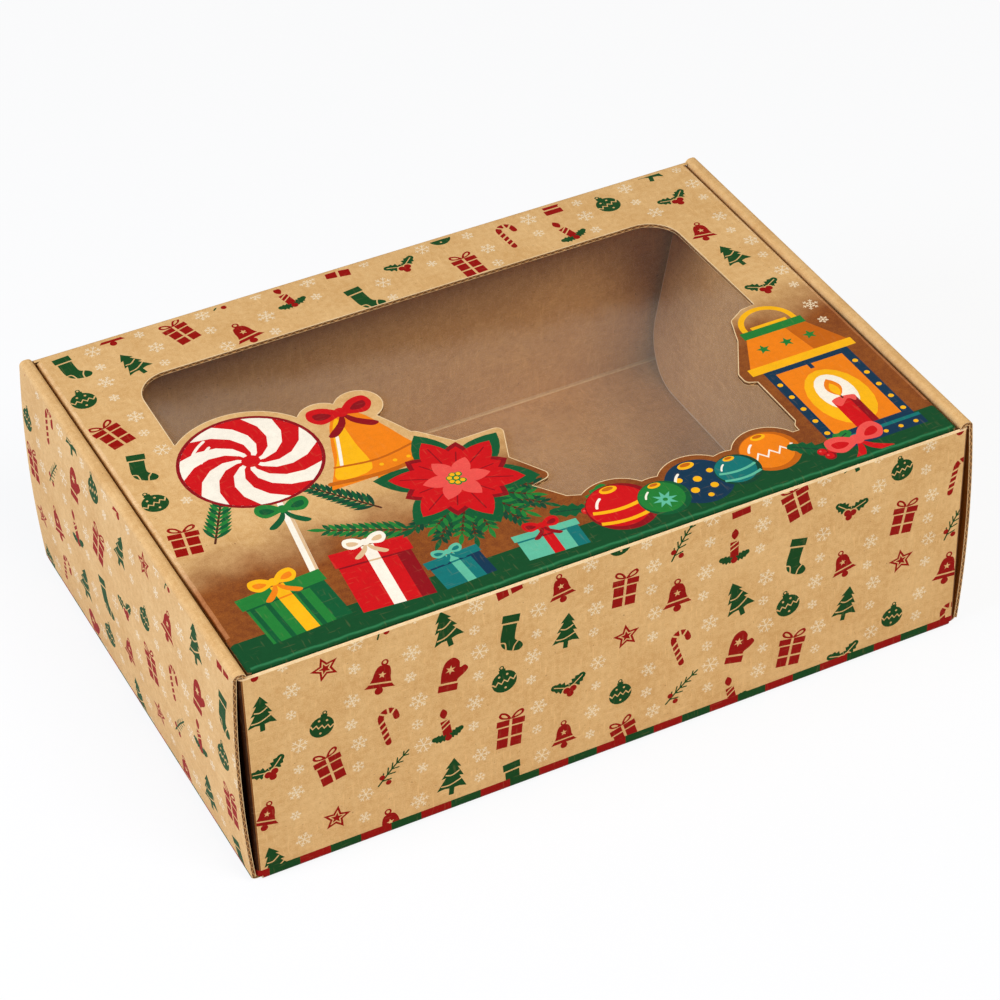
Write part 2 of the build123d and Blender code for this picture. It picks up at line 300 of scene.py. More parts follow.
def core_material(name, wave_light, wave_dark, hollow):
    """The cut core: a wavy paper between two liners, with shade in the hollows."""
    def colour_in(g, grain):
        wave_height = board / 2 - liner - 0.08
        wave = g.math("MULTIPLY_ADD", grain["Rib"], wave_height, board / 2)
        away = g.math("ABSOLUTE", g.math("SUBTRACT", g.parts(g.sheet())["Z"], wave))
        paper = g.mix(grain["Tone"], linear(wave_dark), linear(wave_light))
        return g.mix(g.ramp(away, 0.12, 0.34), paper, linear(hollow))
    return paper_material(name, colour_in, 0.85, 0.3)


def film_shader(g):
    """Thin clear film: gloss by angle and a faint uneven haze in streaks, which towards the front also stands in
    for the studio's glare as a painted reflection.
    """
    sheet = g.sheet()
    x, y, _ = g.parts(sheet)
    streak = g.noise(g.stretched(sheet, (0.022, 0.006, 1), 12), 1.0, 2.0)
    scuff = g.noise(g.stretched(sheet, (0.09, 0.03, 1), -20), 1.0, 3.0)
    haze_and_glare = g.math("MULTIPLY_ADD", streak, 0.058, g.math("MULTIPLY", scuff, 0.012))
    back = g.math("MULTIPLY_ADD", x, haze_glare_slant, y)
    back = g.math("ADD", back, g.math("MULTIPLY_ADD", scuff, haze_glare_waver, -haze_glare_waver / 2))
    haze_and_glare = g.math("MULTIPLY", haze_and_glare, g.ramp(back, haze_glare_back, haze_glare_front))
    facing = g.node("LayerWeight", {"Blend": 0.5}).outputs["Facing"]
    gloss = g.math("MULTIPLY_ADD", g.math("POWER", facing, 4.0), 0.4, 0.004)
    skin = g.node("BsdfPrincipled", {"Base Color": linear((230, 218, 198)), "Roughness": 0.16})
    return g.mix_shaders(g.math("ADD", gloss, haze_and_glare), g.node("BsdfTransparent"), skin)


def glue_shader(g):
    """A thin milky line of dried glue."""
    tone = g.ramp(g.noise(g.sheet(), 0.5, 3.0), 0.3, 0.7)
    colour = g.mix(tone, linear((214, 198, 164)), linear((236, 226, 200)))
    return g.node("BsdfPrincipled", {"Base Color": colour, "Roughness": 0.4, "Alpha": 0.7})


# The brown print of the lid: where its edge lies at the left and at the right
fade_left_x = -60.0
fade_right_x = 70.0
fade_left_y = -46.0
fade_right_y = -4.0
fade_width = 34.0
fade_drift = 26.0
# The film's haze, partly a painted reflection of the studio's glare, which fades out between two slanting lines
# towards the back
haze_glare_back = 48.0
haze_glare_front = 29.0
haze_glare_slant = 0.16
haze_glare_waver = 18.0

SKINS = {
    "kraft": kraft_material("kraft outside", KRAFT_LIGHT, KRAFT_DARK),
    "inside": kraft_material("kraft inside", INSIDE_LIGHT, INSIDE_DARK, 0.85, 0.7),
    # A paler inside crease: pressing of the paper and a painted highlight
    "pressed": kraft_material("inner crease pressing and highlight", (216, 178, 124), (194, 152, 100)),
    "lid": lid_material("printed lid", BROWN_LIGHT, BROWN_DARK),
    # A paler lid print for the ear folds: a painted highlight, partly print worn lighter
    "worn lid": lid_material("lid fold highlight and wear", (178, 114, 66), (144, 84, 42), (232, 194, 142)),
    "liner cut": kraft_material("liner cut edge", (232, 200, 150), (200, 160, 108), 0.85),
    "core": core_material("open flutes", (206, 156, 96), (168, 120, 68), (112, 72, 36)),
    "crushed": kraft_material("crushed edge", (238, 208, 160), (222, 186, 134), 0.7, 0.2),
    "rim": kraft_material("ear rim highlight", (228, 198, 154), (208, 174, 130), 0.7, 0.2),
    # A darker copy of the inside paper for the floor: painted shade
    "floor inside": kraft_material("floor inside", (198, 146, 84), (170, 118, 62), 0.85, 0.7),
    "film": new_material("clear film", film_shader),
    "glue": new_material("dried glue", glue_shader),
}
SKINS.update({ink: ink_material(f"{ink} ink", colour) for ink, colour in INKS.items()})


# Flat outlines, as lists of points


def anticlockwise(points):
    return sum(a[0] * b[1] - b[0] * a[1] for a, b in zip(points, points[1:] + points[:1])) > 0


def polar(x, y, radius, angle):
    """The point at a distance and an angle from a place."""
    angle = math.radians(angle)
    return x + radius * math.cos(angle), y + radius * math.sin(angle)


def arc(x, y, radius, start, end, steps):
    """Points along an arc between two angles."""
    return [polar(x, y, radius, start + (end - start) * i / steps) for i in range(steps + 1)]


def disc(x, y, radius, steps=24):
    return arc(x, y, radius, 0, 360, steps)[:-1]


def oval(x, y, half_width, half_height):
    return [(x + px * half_width, y + py * half_height) for px, py in disc(0, 0, 1, 20)]


def box(x0, y0, x1, y1):
    return [(x0, y0), (x1, y0), (x1, y1), (x0, y1)]


def upright(half, low, high):
    """A rectangle about the middle line."""
    return box(-half, low, half, high)


def moved(points, x=0, y=0, turn=0, size=1, flip=1):
    """Points mirrored, scaled, turned and then shifted."""
    c, s = math.cos(math.radians(turn)) * size, math.sin(math.radians(turn)) * size
    return [(x + flip * px * c - py * s, y + flip * px * s + py * c) for px, py in points]


def both_halves(points):
    """A symmetric outline from its right half, given from top to bottom."""
    return points + [(-x, y) for x, y in reversed(points) if abs(x) > 1e-6]


def smooth(points, closed=False):
    """A rounded line through a few points."""
    count = len(points)
    steps = 4
    line = []
    for i in range(count if closed else count - 1):
        if closed:
            a, b, c, d = [points[(i + k) % count] for k in (-1, 0, 1, 2)]
        else:
            a, b = points[max(i - 1, 0)], points[i]
            c, d = points[i + 1], points[min(i + 2, count - 1)]
        for k in range(steps):
            t = k / steps
            line.append(tuple(
                0.5 * (2 * q + (r - p) * t + (2 * p - 5 * q + 4 * r - s) * t * t
                       + (3 * q - p - 3 * r + s) * t**3)
                for p, q, r, s in zip(a, b, c, d)
            ))
    return line if closed else line + [points[-1]]


def star(x, y, outer, inner, points=5):
    return [
        polar(x, y, inner if i % 2 else outer, 90 + 180 * i / points) for i in range(2 * points)
    ]


def mirrored_leaf(side, length):
    """An outline from its upper side, between its base and its tip."""
    return [(0, 0)] + [(x, -y) for x, y in side] + [(length, 0)] + side[::-1]


def leaf(x0, y0, x1, y1, width, steps=7):
    """A pointed leaf from one point to another."""
    length = math.dist((x0, y0), (x1, y1))
    turn = math.degrees(math.atan2(y1 - y0, x1 - x0))
    side = [
        (length * i / steps, width / 2 * math.sin(math.pi * i / steps) ** 0.85)
        for i in range(1, steps)
    ]
    return moved(mirrored_leaf(side, length), x0, y0, turn)


def stroke(points, width, caps=True):
    """A line of some width, with rounded ends."""
    half = width / 2
    left, right, turns = [], [], []
    for i, (x, y) in enumerate(points):
        before, after = points[max(i - 1, 0)], points[min(i + 1, len(points) - 1)]
        turn = math.atan2(after[1] - before[1], after[0] - before[0])
        dx, dy = -half * math.sin(turn), half * math.cos(turn)
        left.append((x + dx, y + dy))
        right.append((x - dx, y - dy))
        turns.append(math.degrees(turn))
    if not caps:
        return right + left[::-1]
    start_cap = arc(*points[0], half, turns[0] + 90, turns[0] + 270, 4)[1:-1]
    end_cap = arc(*points[-1], half, turns[-1] - 90, turns[-1] + 90, 4)[1:-1]
    return right + end_cap + left[::-1] + start_cap


def curve(points, width):
    return stroke(smooth(points), width)


# A shape is its ink and its outline, and a motif is a list of shapes


def placed(shapes, x=0, y=0, turn=0, size=1, flip=1):
    return [(ink, moved(points, x, y, turn, size, flip)) for ink, points in shapes]


def on_both_sides(shapes):
    """Shapes mirrored to the left, and then at the right."""
    return placed(shapes, flip=-1) + placed(shapes)


def dots(ink, places, radius, steps=12):
    return [(ink, disc(x, y, radius, steps)) for x, y in places]


# Motifs of the all-over print, up to 19 mm tall. Bare paper is the ink None.


def gift_motif(ink):
    loop = [(0, 5.6), (1.8, 8.6), (4.6, 9.8), (5.8, 8.2), (4.2, 6.4)]
    hole = [(1.6, 6.6), (2.7, 8.1), (4.3, 8.7), (4.5, 7.9), (3.4, 7.0)]
    return [
        (ink, upright(5.6, -9, 1.6)), (ink, upright(6.4, 2.3, 5.4)),
        (None, upright(0.6, -9.2, 5.6)), (None, upright(6.6, -4.2, -3.3)),
        *on_both_sides([(ink, smooth(loop, True)), (None, smooth(hole, True))]),
    ]


def tree_motif(ink):
    half = [
        (0, 10), (3.4, 5), (1.9, 5.3), (4.8, 0.2), (2.9, 0.6), (6.4, -5.6), (3.2, -4.9),
        (1.1, -5.2), (1.1, -8.6),
    ]
    return [
        (ink, both_halves(half)),
        (None, curve([(-2.9, 1.9), (-0.4, 1.4), (2.6, 3.0)], 0.6)),
        (None, curve([(-4.6, -3.4), (-0.8, -3.4), (4.0, -1.2)], 0.6)),
    ]


def bauble_motif(ink):
    zigzag = [(-5.4 + 1.35 * i, -1.8 if i % 2 else -0.2) for i in range(9)]
    return [
        (ink, disc(0, 6.4, 1.15, 12)), (None, disc(0, 6.5, 0.55, 10)), (ink, disc(0, -1.0, 5.6)),
        (ink, upright(1.5, 4.0, 5.7)), (None, stroke(zigzag, 0.8, False)),
        *dots(None, [(-1.8, 2.2), (1.8, 2.2), (0, -4.4)], 0.55, 10),
    ]


def stocking_motif(ink):
    leg = [(-3.5, 4.6), (-3.6, 0), (-3.4, -3.4), (-2.0, -6.8), (1.6, -8.8), (5.6, -9.2),
           (7.2, -7.2), (5.8, -5.0), (3.4, -3.6), (2.8, -1.2), (2.9, 4.6)]
    return [
        (ink, smooth(leg)), (ink, box(-4.2, 5.4, 3.6, 9.2)),
        (None, curve([(3.0, -8.9), (3.3, -6.6), (4.6, -4.4)], 0.6)),
        (None, curve([(-3.3, -4.4), (-1.2, -4.8), (-0.3, -7.8)], 0.6)),
    ]


def cane_motif(ink):
    path = [(-2.4, -8.2), (-2.4, 0), (-2.4, 3.4)] + arc(0.6, 3.8, 3, 175, 0, 8) + [(3.6, 2)]
    stripes = [[(-4.2, y - 0.8), (-0.6, y + 1.0)] for y in (-6.2, -3.4, -0.6, 2.2)]
    for angle in (130, 80, 35):
        stripes.append([polar(0.6, 3.8, 1.4, angle - 12), polar(0.6, 3.8, 4.6, angle)])
    return [(ink, stroke(path, 2.5))] + [(None, stroke(line, 0.8, False)) for line in stripes]


def bell_motif(ink):
    half = smooth([(0, 5.6), (2.2, 4.8), (3.3, 2.4), (3.7, -0.4), (4.7, -3.0), (6.2, -4.8)])
    return [
        (ink, disc(0, 6.5, 1.5, 12)), (None, disc(0, 6.6, 0.75, 10)), (ink, disc(0, -6.2, 1.7, 14)),
        (ink, both_halves(half)), (None, stroke([(-4.9, -2.7), (4.9, -2.7)], 0.7, False)),
        (None, star(0, 1.0, 1.6, 0.7)),
    ]


def mitten_motif(ink):
    hand = [(-3.7, -3.4), (-4.0, 1.6), (-3.0, 6.4), (0.1, 8.4), (3.0, 6.2), (3.6, 3.2),
            (5.6, 4.0), (7.2, 2.2), (5.8, -0.2), (3.6, -2.2), (3.3, -3.4)]
    cuff = box(-4.4, -7.6, 3.8, -4.3)
    return [(ink, smooth(hand)), (ink, cuff), (None, star(-0.3, 2.6, 2.2, 0.9, 6))]


def star_motif(ink):
    rings = ((ink, 6.8, 3.1), (None, 4.3, 1.9), (ink, 2.9, 1.25))
    return [(skin, star(0, 0, outer, inner)) for skin, outer, inner in rings]


def holly_leaf(length, width):
    """A leaf with notches between its points."""
    side = []
    for i, share in enumerate((0.75, 1.0, 0.9, 0.55)):
        x, y = length * (0.16 + 0.23 * i), width / 2 * share
        side += [(x, y), (x + length * 0.12, y * 0.62)]
    return mirrored_leaf(side, length)


def holly_motif(ink):
    one_leaf = [(ink, holly_leaf(9.4, 6.2)), (None, stroke([(1.4, 0), (7.8, 0)], 0.45))]
    leaves = placed(one_leaf, 0, -1.4, 35) + placed(one_leaf, 0, -1.4, 155)
    berries = ((-1.5, -2.3), (1.6, -2.2), (0, -4.6))
    return leaves + dots(None, berries, 2.3, 14) + dots(OTHER_INK[ink], berries, 1.7)


def candle_motif(ink):
    leaves = [(OTHER_INK[ink], moved(holly_leaf(6.8, 4.4), 0.4, -6.2, 20))]
    return [
        (ink, upright(1.9, -6.4, 3.0)),
        (None, stroke([(-1.9, -1.4), (1.9, 0.6)], 0.6, False)),
        (None, stroke([(-1.9, 0.9), (1.9, 2.9)], 0.6, False)),
        (ink, leaf(0, 3.9, 0.3, 9.2, 3.2)),
        *on_both_sides(leaves), (ink, disc(0, -6.3, 1.5, 12)),
    ]


def sprig_motif(ink):
    """A thin fir twig with two berries."""
    stem = smooth([(-5.6, -7.2), (-2.6, -2.4), (0.6, 2.2), (4.8, 7.4)])
    shapes = [(ink, stroke(stem, 0.7))]
    for i in range(2, len(stem) - 1, 2):
        for side in (-58, 50):
            tip = polar(*stem[i], 3.9 - 0.18 * i, 52 + side * 0.75)
            shapes.append((ink, stroke([stem[i], tip], 0.6)))
    return shapes + dots(OTHER_INK[ink], [(-4.6, -3.4), (-1.6, -6.2)], 1.2)


def flake_motif(size, twigs):
    """A snowflake of six arms with pairs of twigs."""
    line = 0.24 + 0.04 * size
    bar = stroke([(-size, 0), (size, 0)], line, False)
    arms = [moved(bar, turn=turn) for turn in range(0, 180, 60)]
    for turn in range(0, 360, 60):
        for share, length in twigs:
            twig = stroke([(0, 0), (size * length, 0)], line, False)
            for side in (-55, 55):
                arms.append(moved(moved(twig, size * share, 0, side), turn=turn))
    return [("white", points) for points in arms]


OTHER_INK = {"red": "green", "green": "red"}
# The motifs and their inks, in the order in which the print steps through them
MOTIFS = [
    (gift_motif, "red"), (stocking_motif, "green"), (bell_motif, "red"), (tree_motif, "green"),
    (mitten_motif, "red"), (bauble_motif, "green"), (gift_motif, "red"), (sprig_motif, "green"),
    (bell_motif, "red"), (tree_motif, "green"), (star_motif, "red"), (bauble_motif, "green"),
    (cane_motif, "red"), (holly_motif, "green"), (candle_motif, "red"),
]
# Where the twigs of a snowflake's arms begin and how long they are, in shares of the arm
FLAKE_TWIGS = (
    ((0.48, 0.34), (0.76, 0.2)), ((0.6, 0.36),), ((0.34, 0.22), (0.66, 0.3)),
)
# Each motif has two snowflakes beside it: how far on and up they are, in steps of the
# print, and their size
FLAKE_SPOTS = ((0.5, 0.26, 3.9), (0.46, -0.2, 2.6))
print_step_across = 24.1
print_step_up = 24.0
print_sway = 1.6
print_sizes = (0.86, 0.92, 1.0, 0.88, 0.96)
print_turns = (-14, 8, 0, 12, -6, 16, -10, 4)


def in_turn(choices, number):
    return choices[number % len(choices)]


def scattered(low, high, shift=0, wanted=lambda x, y, reach: True):
    """The all-over print in a rectangle: motifs in staggered columns, and snowflakes."""
    shapes = []
    columns = math.ceil((high[0] - low[0]) / print_step_across) + 1
    rows = math.ceil((high[1] - low[1]) / print_step_up) + 1
    for column in range(columns):
        for row in range(rows):
            count = shift + 7 * column + 5 * row
            x = low[0] + column * print_step_across + print_sway * math.sin(2.1 * count)
            y = low[1] + (row + 0.5 * (column % 2)) * print_step_up
            y += print_sway * math.cos(1.7 * count)
            motif, ink = in_turn(MOTIFS, count)
            turn = in_turn(print_turns, 3 * column + 5 * row + shift)
            if wanted(x, y, 7):
                shapes += placed(motif(ink), x, y, turn, in_turn(print_sizes, count))
            for k, (across, up, radius) in enumerate(FLAKE_SPOTS):
                spot = x + across * print_step_across, y + up * print_step_up
                radius *= in_turn(print_sizes, count + 2 * k)
                if wanted(*spot, radius):
                    flake = flake_motif(radius, in_turn(FLAKE_TWIGS, count + k))
                    shapes += placed(flake, *spot, turn + 20 * k)
    return shapes


# Building one piece of board. An edge is a row of steps: how far in and how deep each
# step lies, and the skin from there to the next one.


BOARD_EDGE = (
    ((0, 0), "liner cut"), ((0, liner), "core"), ((core_recess, liner), "core"),
    ((core_recess, board - liner), "core"), ((0, board - liner), "liner cut"), ((0, board), None),
)
CRUSHED_TOP = ((0, 0), "crushed"), ((crushed_round, crushed_round), "crushed")
CRUSHED_EDGE = (*CRUSHED_TOP, ((crushed_round, board - crushed_round), "crushed"), ((0, board), None))
# The slanting rim's skin is paler than the inside paper: a painted highlight
PRESSED_EDGE = (*CRUSHED_TOP, ((crushed_round, board - rim_height), "rim"), ((rim_width, board), None))


def plain_edge(depth, skin):
    """A plain cut through a thin sheet."""
    return ((0, 0), skin), ((0, depth), None)


def triangles_in(loops, prints, lines):
    """Triangles that fill the loops, split along the prints and lines.

    Each triangle comes with the number of the last print over it, or None.
    """
    places, edges, faces = [], [], []
    for loop in loops + [points for _, points in prints]:
        face = list(range(len(places), len(places) + len(loop)))
        faces.append(face if anticlockwise(loop) else face[::-1])
        places += [Vector(p) for p in loop]
    for line in lines:
        first = len(places)
        places += [Vector(p) for p in line]
        edges += [(i, i + 1) for i in range(first, len(places) - 1)]
    made, _, triangles, origins, _, sources = delaunay_2d_cdt(places, edges, faces, 0, 1e-3)
    kept = []
    for triangle, over in zip(triangles, sources):
        over = set(over)
        if 0 not in over or any(i in over for i in range(1, len(loops))):
            continue
        printed = max(over) - len(loops)
        kept.append((tuple(triangle), printed if printed >= 0 else None))
    return [tuple(p) for p in made], kept, origins


def rim_loops(triangles):
    """The directed edges that only one triangle has, chained into loops."""
    following = {}
    for a, b, c in triangles:
        for edge in ((a, b), (b, c), (c, a)):
            following[edge] = True
    ahead = {a: b for a, b in following if (b, a) not in following}
    loops = []
    while ahead:
        start, here = ahead.popitem()
        loop = [start]
        while here != start:
            loop.append(here)
            here = ahead.pop(here)
        loops.append(loop)
    return loops


def loop_width(loop):
    return max(p[0] for p in loop) - min(p[0] for p in loop)


def inward(before, here, after):
    """How far a rim point moves in for an inset of one."""
    turns = []
    for a, b in ((before, here), (here, after)):
        length = math.dist(a, b)
        turns.append(((a[1] - b[1]) / length, (b[0] - a[0]) / length))
    x, y = turns[0][0] + turns[1][0], turns[0][1] + turns[1][1]
    scale = 2 / max(x * x + y * y, 1.0)
    return x * scale, y * scale


def surface_normal(place, u, v, depth):
    step = 0.01
    along_u = place(u + step, v, depth) - place(u - step, v, depth)
    along_v = place(u, v + step, depth) - place(u, v - step, depth)
    return along_u.cross(along_v).normalized()


def guide_lines(loops, guides):
    """Long straight lines across the outline at the guides' places."""
    flat = [p for loop in loops for p in loop]
    margin = 5.0
    low = [min(p[i] for p in flat) - margin for i in (0, 1)]
    high = [max(p[i] for p in flat) + margin for i in (0, 1)]
    return [
        [(at, low[1]), (at, high[1])] if axis == "u" else [(low[0], at), (high[0], at)]
        for axis, at in guides
    ]


def added_object(name, data):
    made = bpy.data.objects.new(name, data)
    bpy.context.scene.collection.objects.link(made)
    return made


def make_piece(name, loops, place, prints=(), guides=(), skins=("kraft", "inside"),
               edge=BOARD_EDGE, across="u", offset=0.0, joined=lambda u, v: False,
               inner_skin=lambda u, v: None, sheet_at=None):
    """A sheet with thickness. Loops lie on its outer face, in u and v.

    The function place takes u, v and a depth to a point in millimetres. Where joined says
    so, the edge runs straight down, because the next piece goes on there. The axis named
    by across crosses the flutes, and the offset shifts the paper's grain.
    """
    flats, outer, _ = triangles_in(loops, list(prints), guide_lines(loops, guides))
    rims = rim_loops([t for t, _ in outer])
    rims.sort(key=lambda rim: loop_width([flats[i] for i in rim]), reverse=True)
    sheet_depth = edge[-1][0][1]
    points, sheets, faces, face_skins, normals = [], [], [], [], []

    def add_point(u, v, depth):
        points.append(place(u, v, depth) * MM)
        flat = (u, v) if across == "u" else (v, u)
        if sheet_at:
            flat = sheet_at(u, v)
        sheets.extend((flat[0] + offset, flat[1] + offset, depth))
        return len(points) - 1

    def add_face(corners, skin, corner_normals):
        faces.append(corners)
        face_skins.append(skin)
        normals.extend(corner_normals)

    used = sorted({i for t, _ in outer for i in t})
    outer_at = {i: add_point(*flats[i], 0) for i in used}
    outer_normal = {i: surface_normal(place, *flats[i], 0) for i in used}
    for triangle, printed in outer:
        ink = prints[printed][0] if printed is not None else None
        add_face([outer_at[i] for i in triangle], ink or skins[0], [outer_normal[i] for i in triangle])

    last_ring = []
    for rim in rims:
        count = len(rim)
        rings = [[outer_at[i] for i in rim]]
        for (inset, depth), _ in edge[1:]:
            ring = []
            for k, i in enumerate(rim):
                u, v = flats[i]
                du, dv = inward(flats[rim[k - 1]], flats[i], flats[rim[(k + 1) % count]])
                reach = 0 if joined(u, v) else inset
                ring.append(add_point(u + du * reach, v + dv * reach, depth))
            rings.append(ring)
        for (_, skin), near, far in zip(edge, rings, rings[1:]):
            for k in range(count):
                after = (k + 1) % count
                face = [near[k], far[k], far[after], near[after]]
                a, b, c, d = [points[i] for i in face]
                add_face(face, skin, [(c - a).cross(d - b).normalized()] * 4)
        last_ring += rings[-1]

    rim_faces = [[flats[i] for i in rim] for rim in rims]
    rim_flats = [p for face in rim_faces for p in face]
    lines = []
    for axis, value in guides:
        on_line = {p for p in rim_flats if abs(p["uv".index(axis)] - value) < 2e-3}
        if len(on_line) > 1:
            lines.append(sorted(on_line))
    inner_flats, inner, origins = triangles_in(rim_faces, [], lines)
    inner_at, inner_normal = {}, {}
    for i in sorted({i for t, _ in inner for i in t}):
        on_rim = [k for k in origins[i] if k < len(rim_flats)]
        inner_at[i] = last_ring[on_rim[0]] if on_rim else add_point(*inner_flats[i], sheet_depth)
        inner_normal[i] = -surface_normal(place, *inner_flats[i], sheet_depth)
    for triangle, _ in inner:
        triangle = triangle[::-1]
        middle = [sum(inner_flats[i][k] for i in triangle) / 3 for k in (0, 1)]
        skin = inner_skin(*middle) or skins[1]
        add_face([inner_at[i] for i in triangle], skin, [inner_normal[i] for i in triangle])

    mesh = bpy.data.meshes.new(name)
    mesh.from_pydata(points, [], faces)
    names = sorted(set(face_skins))
    for skin in names:
        mesh.materials.append(SKINS[skin])
    mesh.polygons.foreach_set("material_index", [names.index(s) for s in face_skins])
    mesh.polygons.foreach_set("use_smooth", [True] * len(faces))
    mesh.attributes.new("sheet", "FLOAT_VECTOR", "POINT").data.foreach_set("vector", sheets)
    mesh.normals_split_custom_set(normals)
    return added_object(name, mesh)


BODY_OF = {
    node: body
    for body, nodes in frame["record"]["behaviour"]["bodies"].items()
    for node in nodes
}


def stands_for(piece, node):
    """The piece rides with the node's body and takes the node's place."""
    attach(piece, BODY_OF[node])
    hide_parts(node)


def board_for(node, loops, place, prints=(), guides=(), **look):
    """A node's piece of board, standing for the node."""
    stands_for(make_piece(f"{node}_board", loops, place, prints, guides, **look), node)


def cad_face(node, towards, up):
    """The large flat face of a CAD slab on one side: its axes, height and loops."""
    mesh = frame["nodes"][node].data
    mesh.calc_loop_triangles()
    towards = Vector(towards)
    places = [v.co / MM for v in mesh.vertices]
    areas = {}
    for triangle in mesh.loop_triangles:
        a, b, c = [places[i] for i in triangle.vertices]
        cross = (b - a).cross(c - a)
        if cross.length < 1e-6 or cross.normalized().dot(towards) < 0.7:
            continue
        normal = cross.normalized()
        key = (*[round(x, 2) for x in normal], round(normal.dot(a), 1))
        entry = areas.setdefault(key, [0, Vector(), []])
        entry[0] += cross.length
        entry[1] += cross
        entry[2].append(tuple(triangle.vertices))
    _, total, triangles = max(areas.values(), key=lambda entry: entry[0])
    normal = total.normalized()
    up = (Vector(up) - normal * normal.dot(Vector(up))).normalized()
    right = up.cross(normal)
    height = places[triangles[0][0]].dot(normal)
    merged, number = {}, {}
    for i in {i for t in triangles for i in t}:
        key = tuple(round(c, 3) for c in places[i])
        number[i] = merged.setdefault(key, i)
    rims = rim_loops([tuple(number[i] for i in t) for t in triangles])
    loops = [[(places[i].dot(right), places[i].dot(up)) for i in rim] for rim in rims]
    loops.sort(key=loop_width, reverse=True)
    return right, up, normal, height, loops


def flat_place(right, up, normal, height):
    """The place function of a flat face, from its axes and its height."""
    def place(u, v, depth):
        return right * u + up * v + normal * (height - depth)
    return place


def fold_guides(axis, start, sign=1):
    """Guides along a quarter fold that begins at a place."""
    return [(axis, start + sign * fold_length * i / FOLD_STEPS) for i in range(FOLD_STEPS)]


def bent(distance, depth):
    """How far on and how deep the board lies past the start of a quarter fold."""
    if distance <= 0:
        return distance, depth
    turn = min(distance / fold_radius, QUARTER)
    radius = fold_radius - depth
    past = max(distance - fold_length, 0)
    return radius * math.sin(turn), fold_radius - radius * math.cos(turn) + past


def clamp(value, low=0.0, high=1.0):
    return max(low, min(high, value))


# How far below the top a mitre begins, how far the painted shade at the open wall ends
# reaches in, and how many steps the side walls' bow takes
mitre_run = 4.0
painted_shade_reach = 12.0
bow_steps = 12
# The blocks along the bottom folds
stripe_length = 12.3
stripe_top = 5.2
stripe_shift = 6.0


def end_wall_place(side, setback, top):
    """The place function of the front wall (side -1) or the back one, with a mitred top."""
    def place(u, v, depth):
        on_u, deep_u = bent(abs(u) - end_fold_x, depth)
        on_v, deep_v = bent(fold_radius - v, depth)
        deep = deep_u + deep_v - depth
        rise = setback * clamp(deep / board) * clamp((v - top + mitre_run) / mitre_run)
        x = -side * math.copysign(end_fold_x + on_u, u)
        return Vector((x, side * (wall_outer - deep), fold_radius - on_v + rise))
    return place


def bottom_stripes(low_u, high_u, low_v, high_v):
    """Red and green blocks in a row along a bottom fold."""
    shapes = []
    for i in range(math.ceil((high_u - low_u + 2 * stripe_length) / stripe_length)):
        left = low_u - stripe_length + stripe_shift + i * stripe_length
        block = box(left, low_v, left + stripe_length, high_v)
        shapes.append(("green" if i % 2 else "red", block))
    return shapes


def end_wall(node, side):
    """One printed end wall with its rounded folds."""
    setback = 0 if side < 0 else mitre_setback
    top = (front_high if side < 0 else back_high)[2] - setback
    fold_end = fold_radius - fold_length
    reach = end_fold_x + fold_length
    crease_highlight_top = fold_radius + 0.9
    half_loop = [(reach, top), (reach, flap_bottom), (end_fold_x, flap_bottom), (end_fold_x, fold_end)]
    guides = fold_guides("v", fold_radius, -1) + fold_guides("u", end_fold_x)
    guides += fold_guides("u", -end_fold_x, -1) + [("v", crease_highlight_top)]
    prints = scattered((-143, 6), (147, 92), shift=3 if side < 0 else 8)
    prints += bottom_stripes(-reach, reach, fold_end - 1, stripe_top)
    # Painted shade, near-black with a brown edge, on the outer part of each upright fold, where it turns into the
    # gap beside a side wall
    for flip in (1, -1):
        for share, ink in ((0.2, "recess edge"), (0.38, "recess")):
            shade = box(end_fold_x + share * fold_length, stripe_top, reach + 1, top + 1)
            prints.append((ink, moved(shade, flip=flip)))

    def joined(u, v):
        return v < fold_radius or abs(u) > reach - 0.01

    # The inside of the bottom fold is paler, from pressing of the paper and a painted highlight
    def inner_skin(u, v):
        return "pressed" if v < crease_highlight_top else None

    board_for(
        node, [both_halves(half_loop)], end_wall_place(side, setback, top), prints, guides,
        edge=CRUSHED_EDGE if side < 0 else BOARD_EDGE, offset=40.0 * (side + 2),
        joined=joined, inner_skin=inner_skin,
    )


def outer_wall(node, side):
    """One printed outer side wall, with its slight bulge and the fold below it."""
    fold_end = fold_radius - fold_length
    half, fold_half, top = wall_high[1], floor_high[1], wall_high[2]

    def place(u, v, depth):
        on, deep = bent(fold_radius - v, depth)
        share = clamp((v - fold_radius) / (top - fold_radius))
        bulge = side_bow * 4 * share * (1 - share)
        return Vector((side * (side_outer - deep + bulge), side * u, fold_radius - on))

    rise = [fold_radius + (top - fold_radius) * i / bow_steps for i in range(1, bow_steps)]
    guides = fold_guides("v", fold_radius, -1) + [("v", z) for z in rise]
    # The inner face near both ends gets a painted shade, seen through the gaps at the corners
    guides += [("u", half - painted_shade_reach), ("u", painted_shade_reach - half)]
    half_loop = [(half, top), (half, fold_radius), (fold_half, fold_radius), (fold_half, fold_end)]
    prints = scattered((-98, 6), (104, 92), shift=5 if side < 0 else 11)
    prints += bottom_stripes(-half, half, fold_end - 1, fold_radius + 0.6)
    board_for(
        node, [both_halves(half_loop)], place, prints, guides, across="v",
        offset=200.0 + 60 * side, joined=lambda u, v: v < fold_end + 0.01 or v > top - 0.01,
        inner_skin=lambda u, v: "wall recess" if abs(u) > half - painted_shade_reach else None,
    )


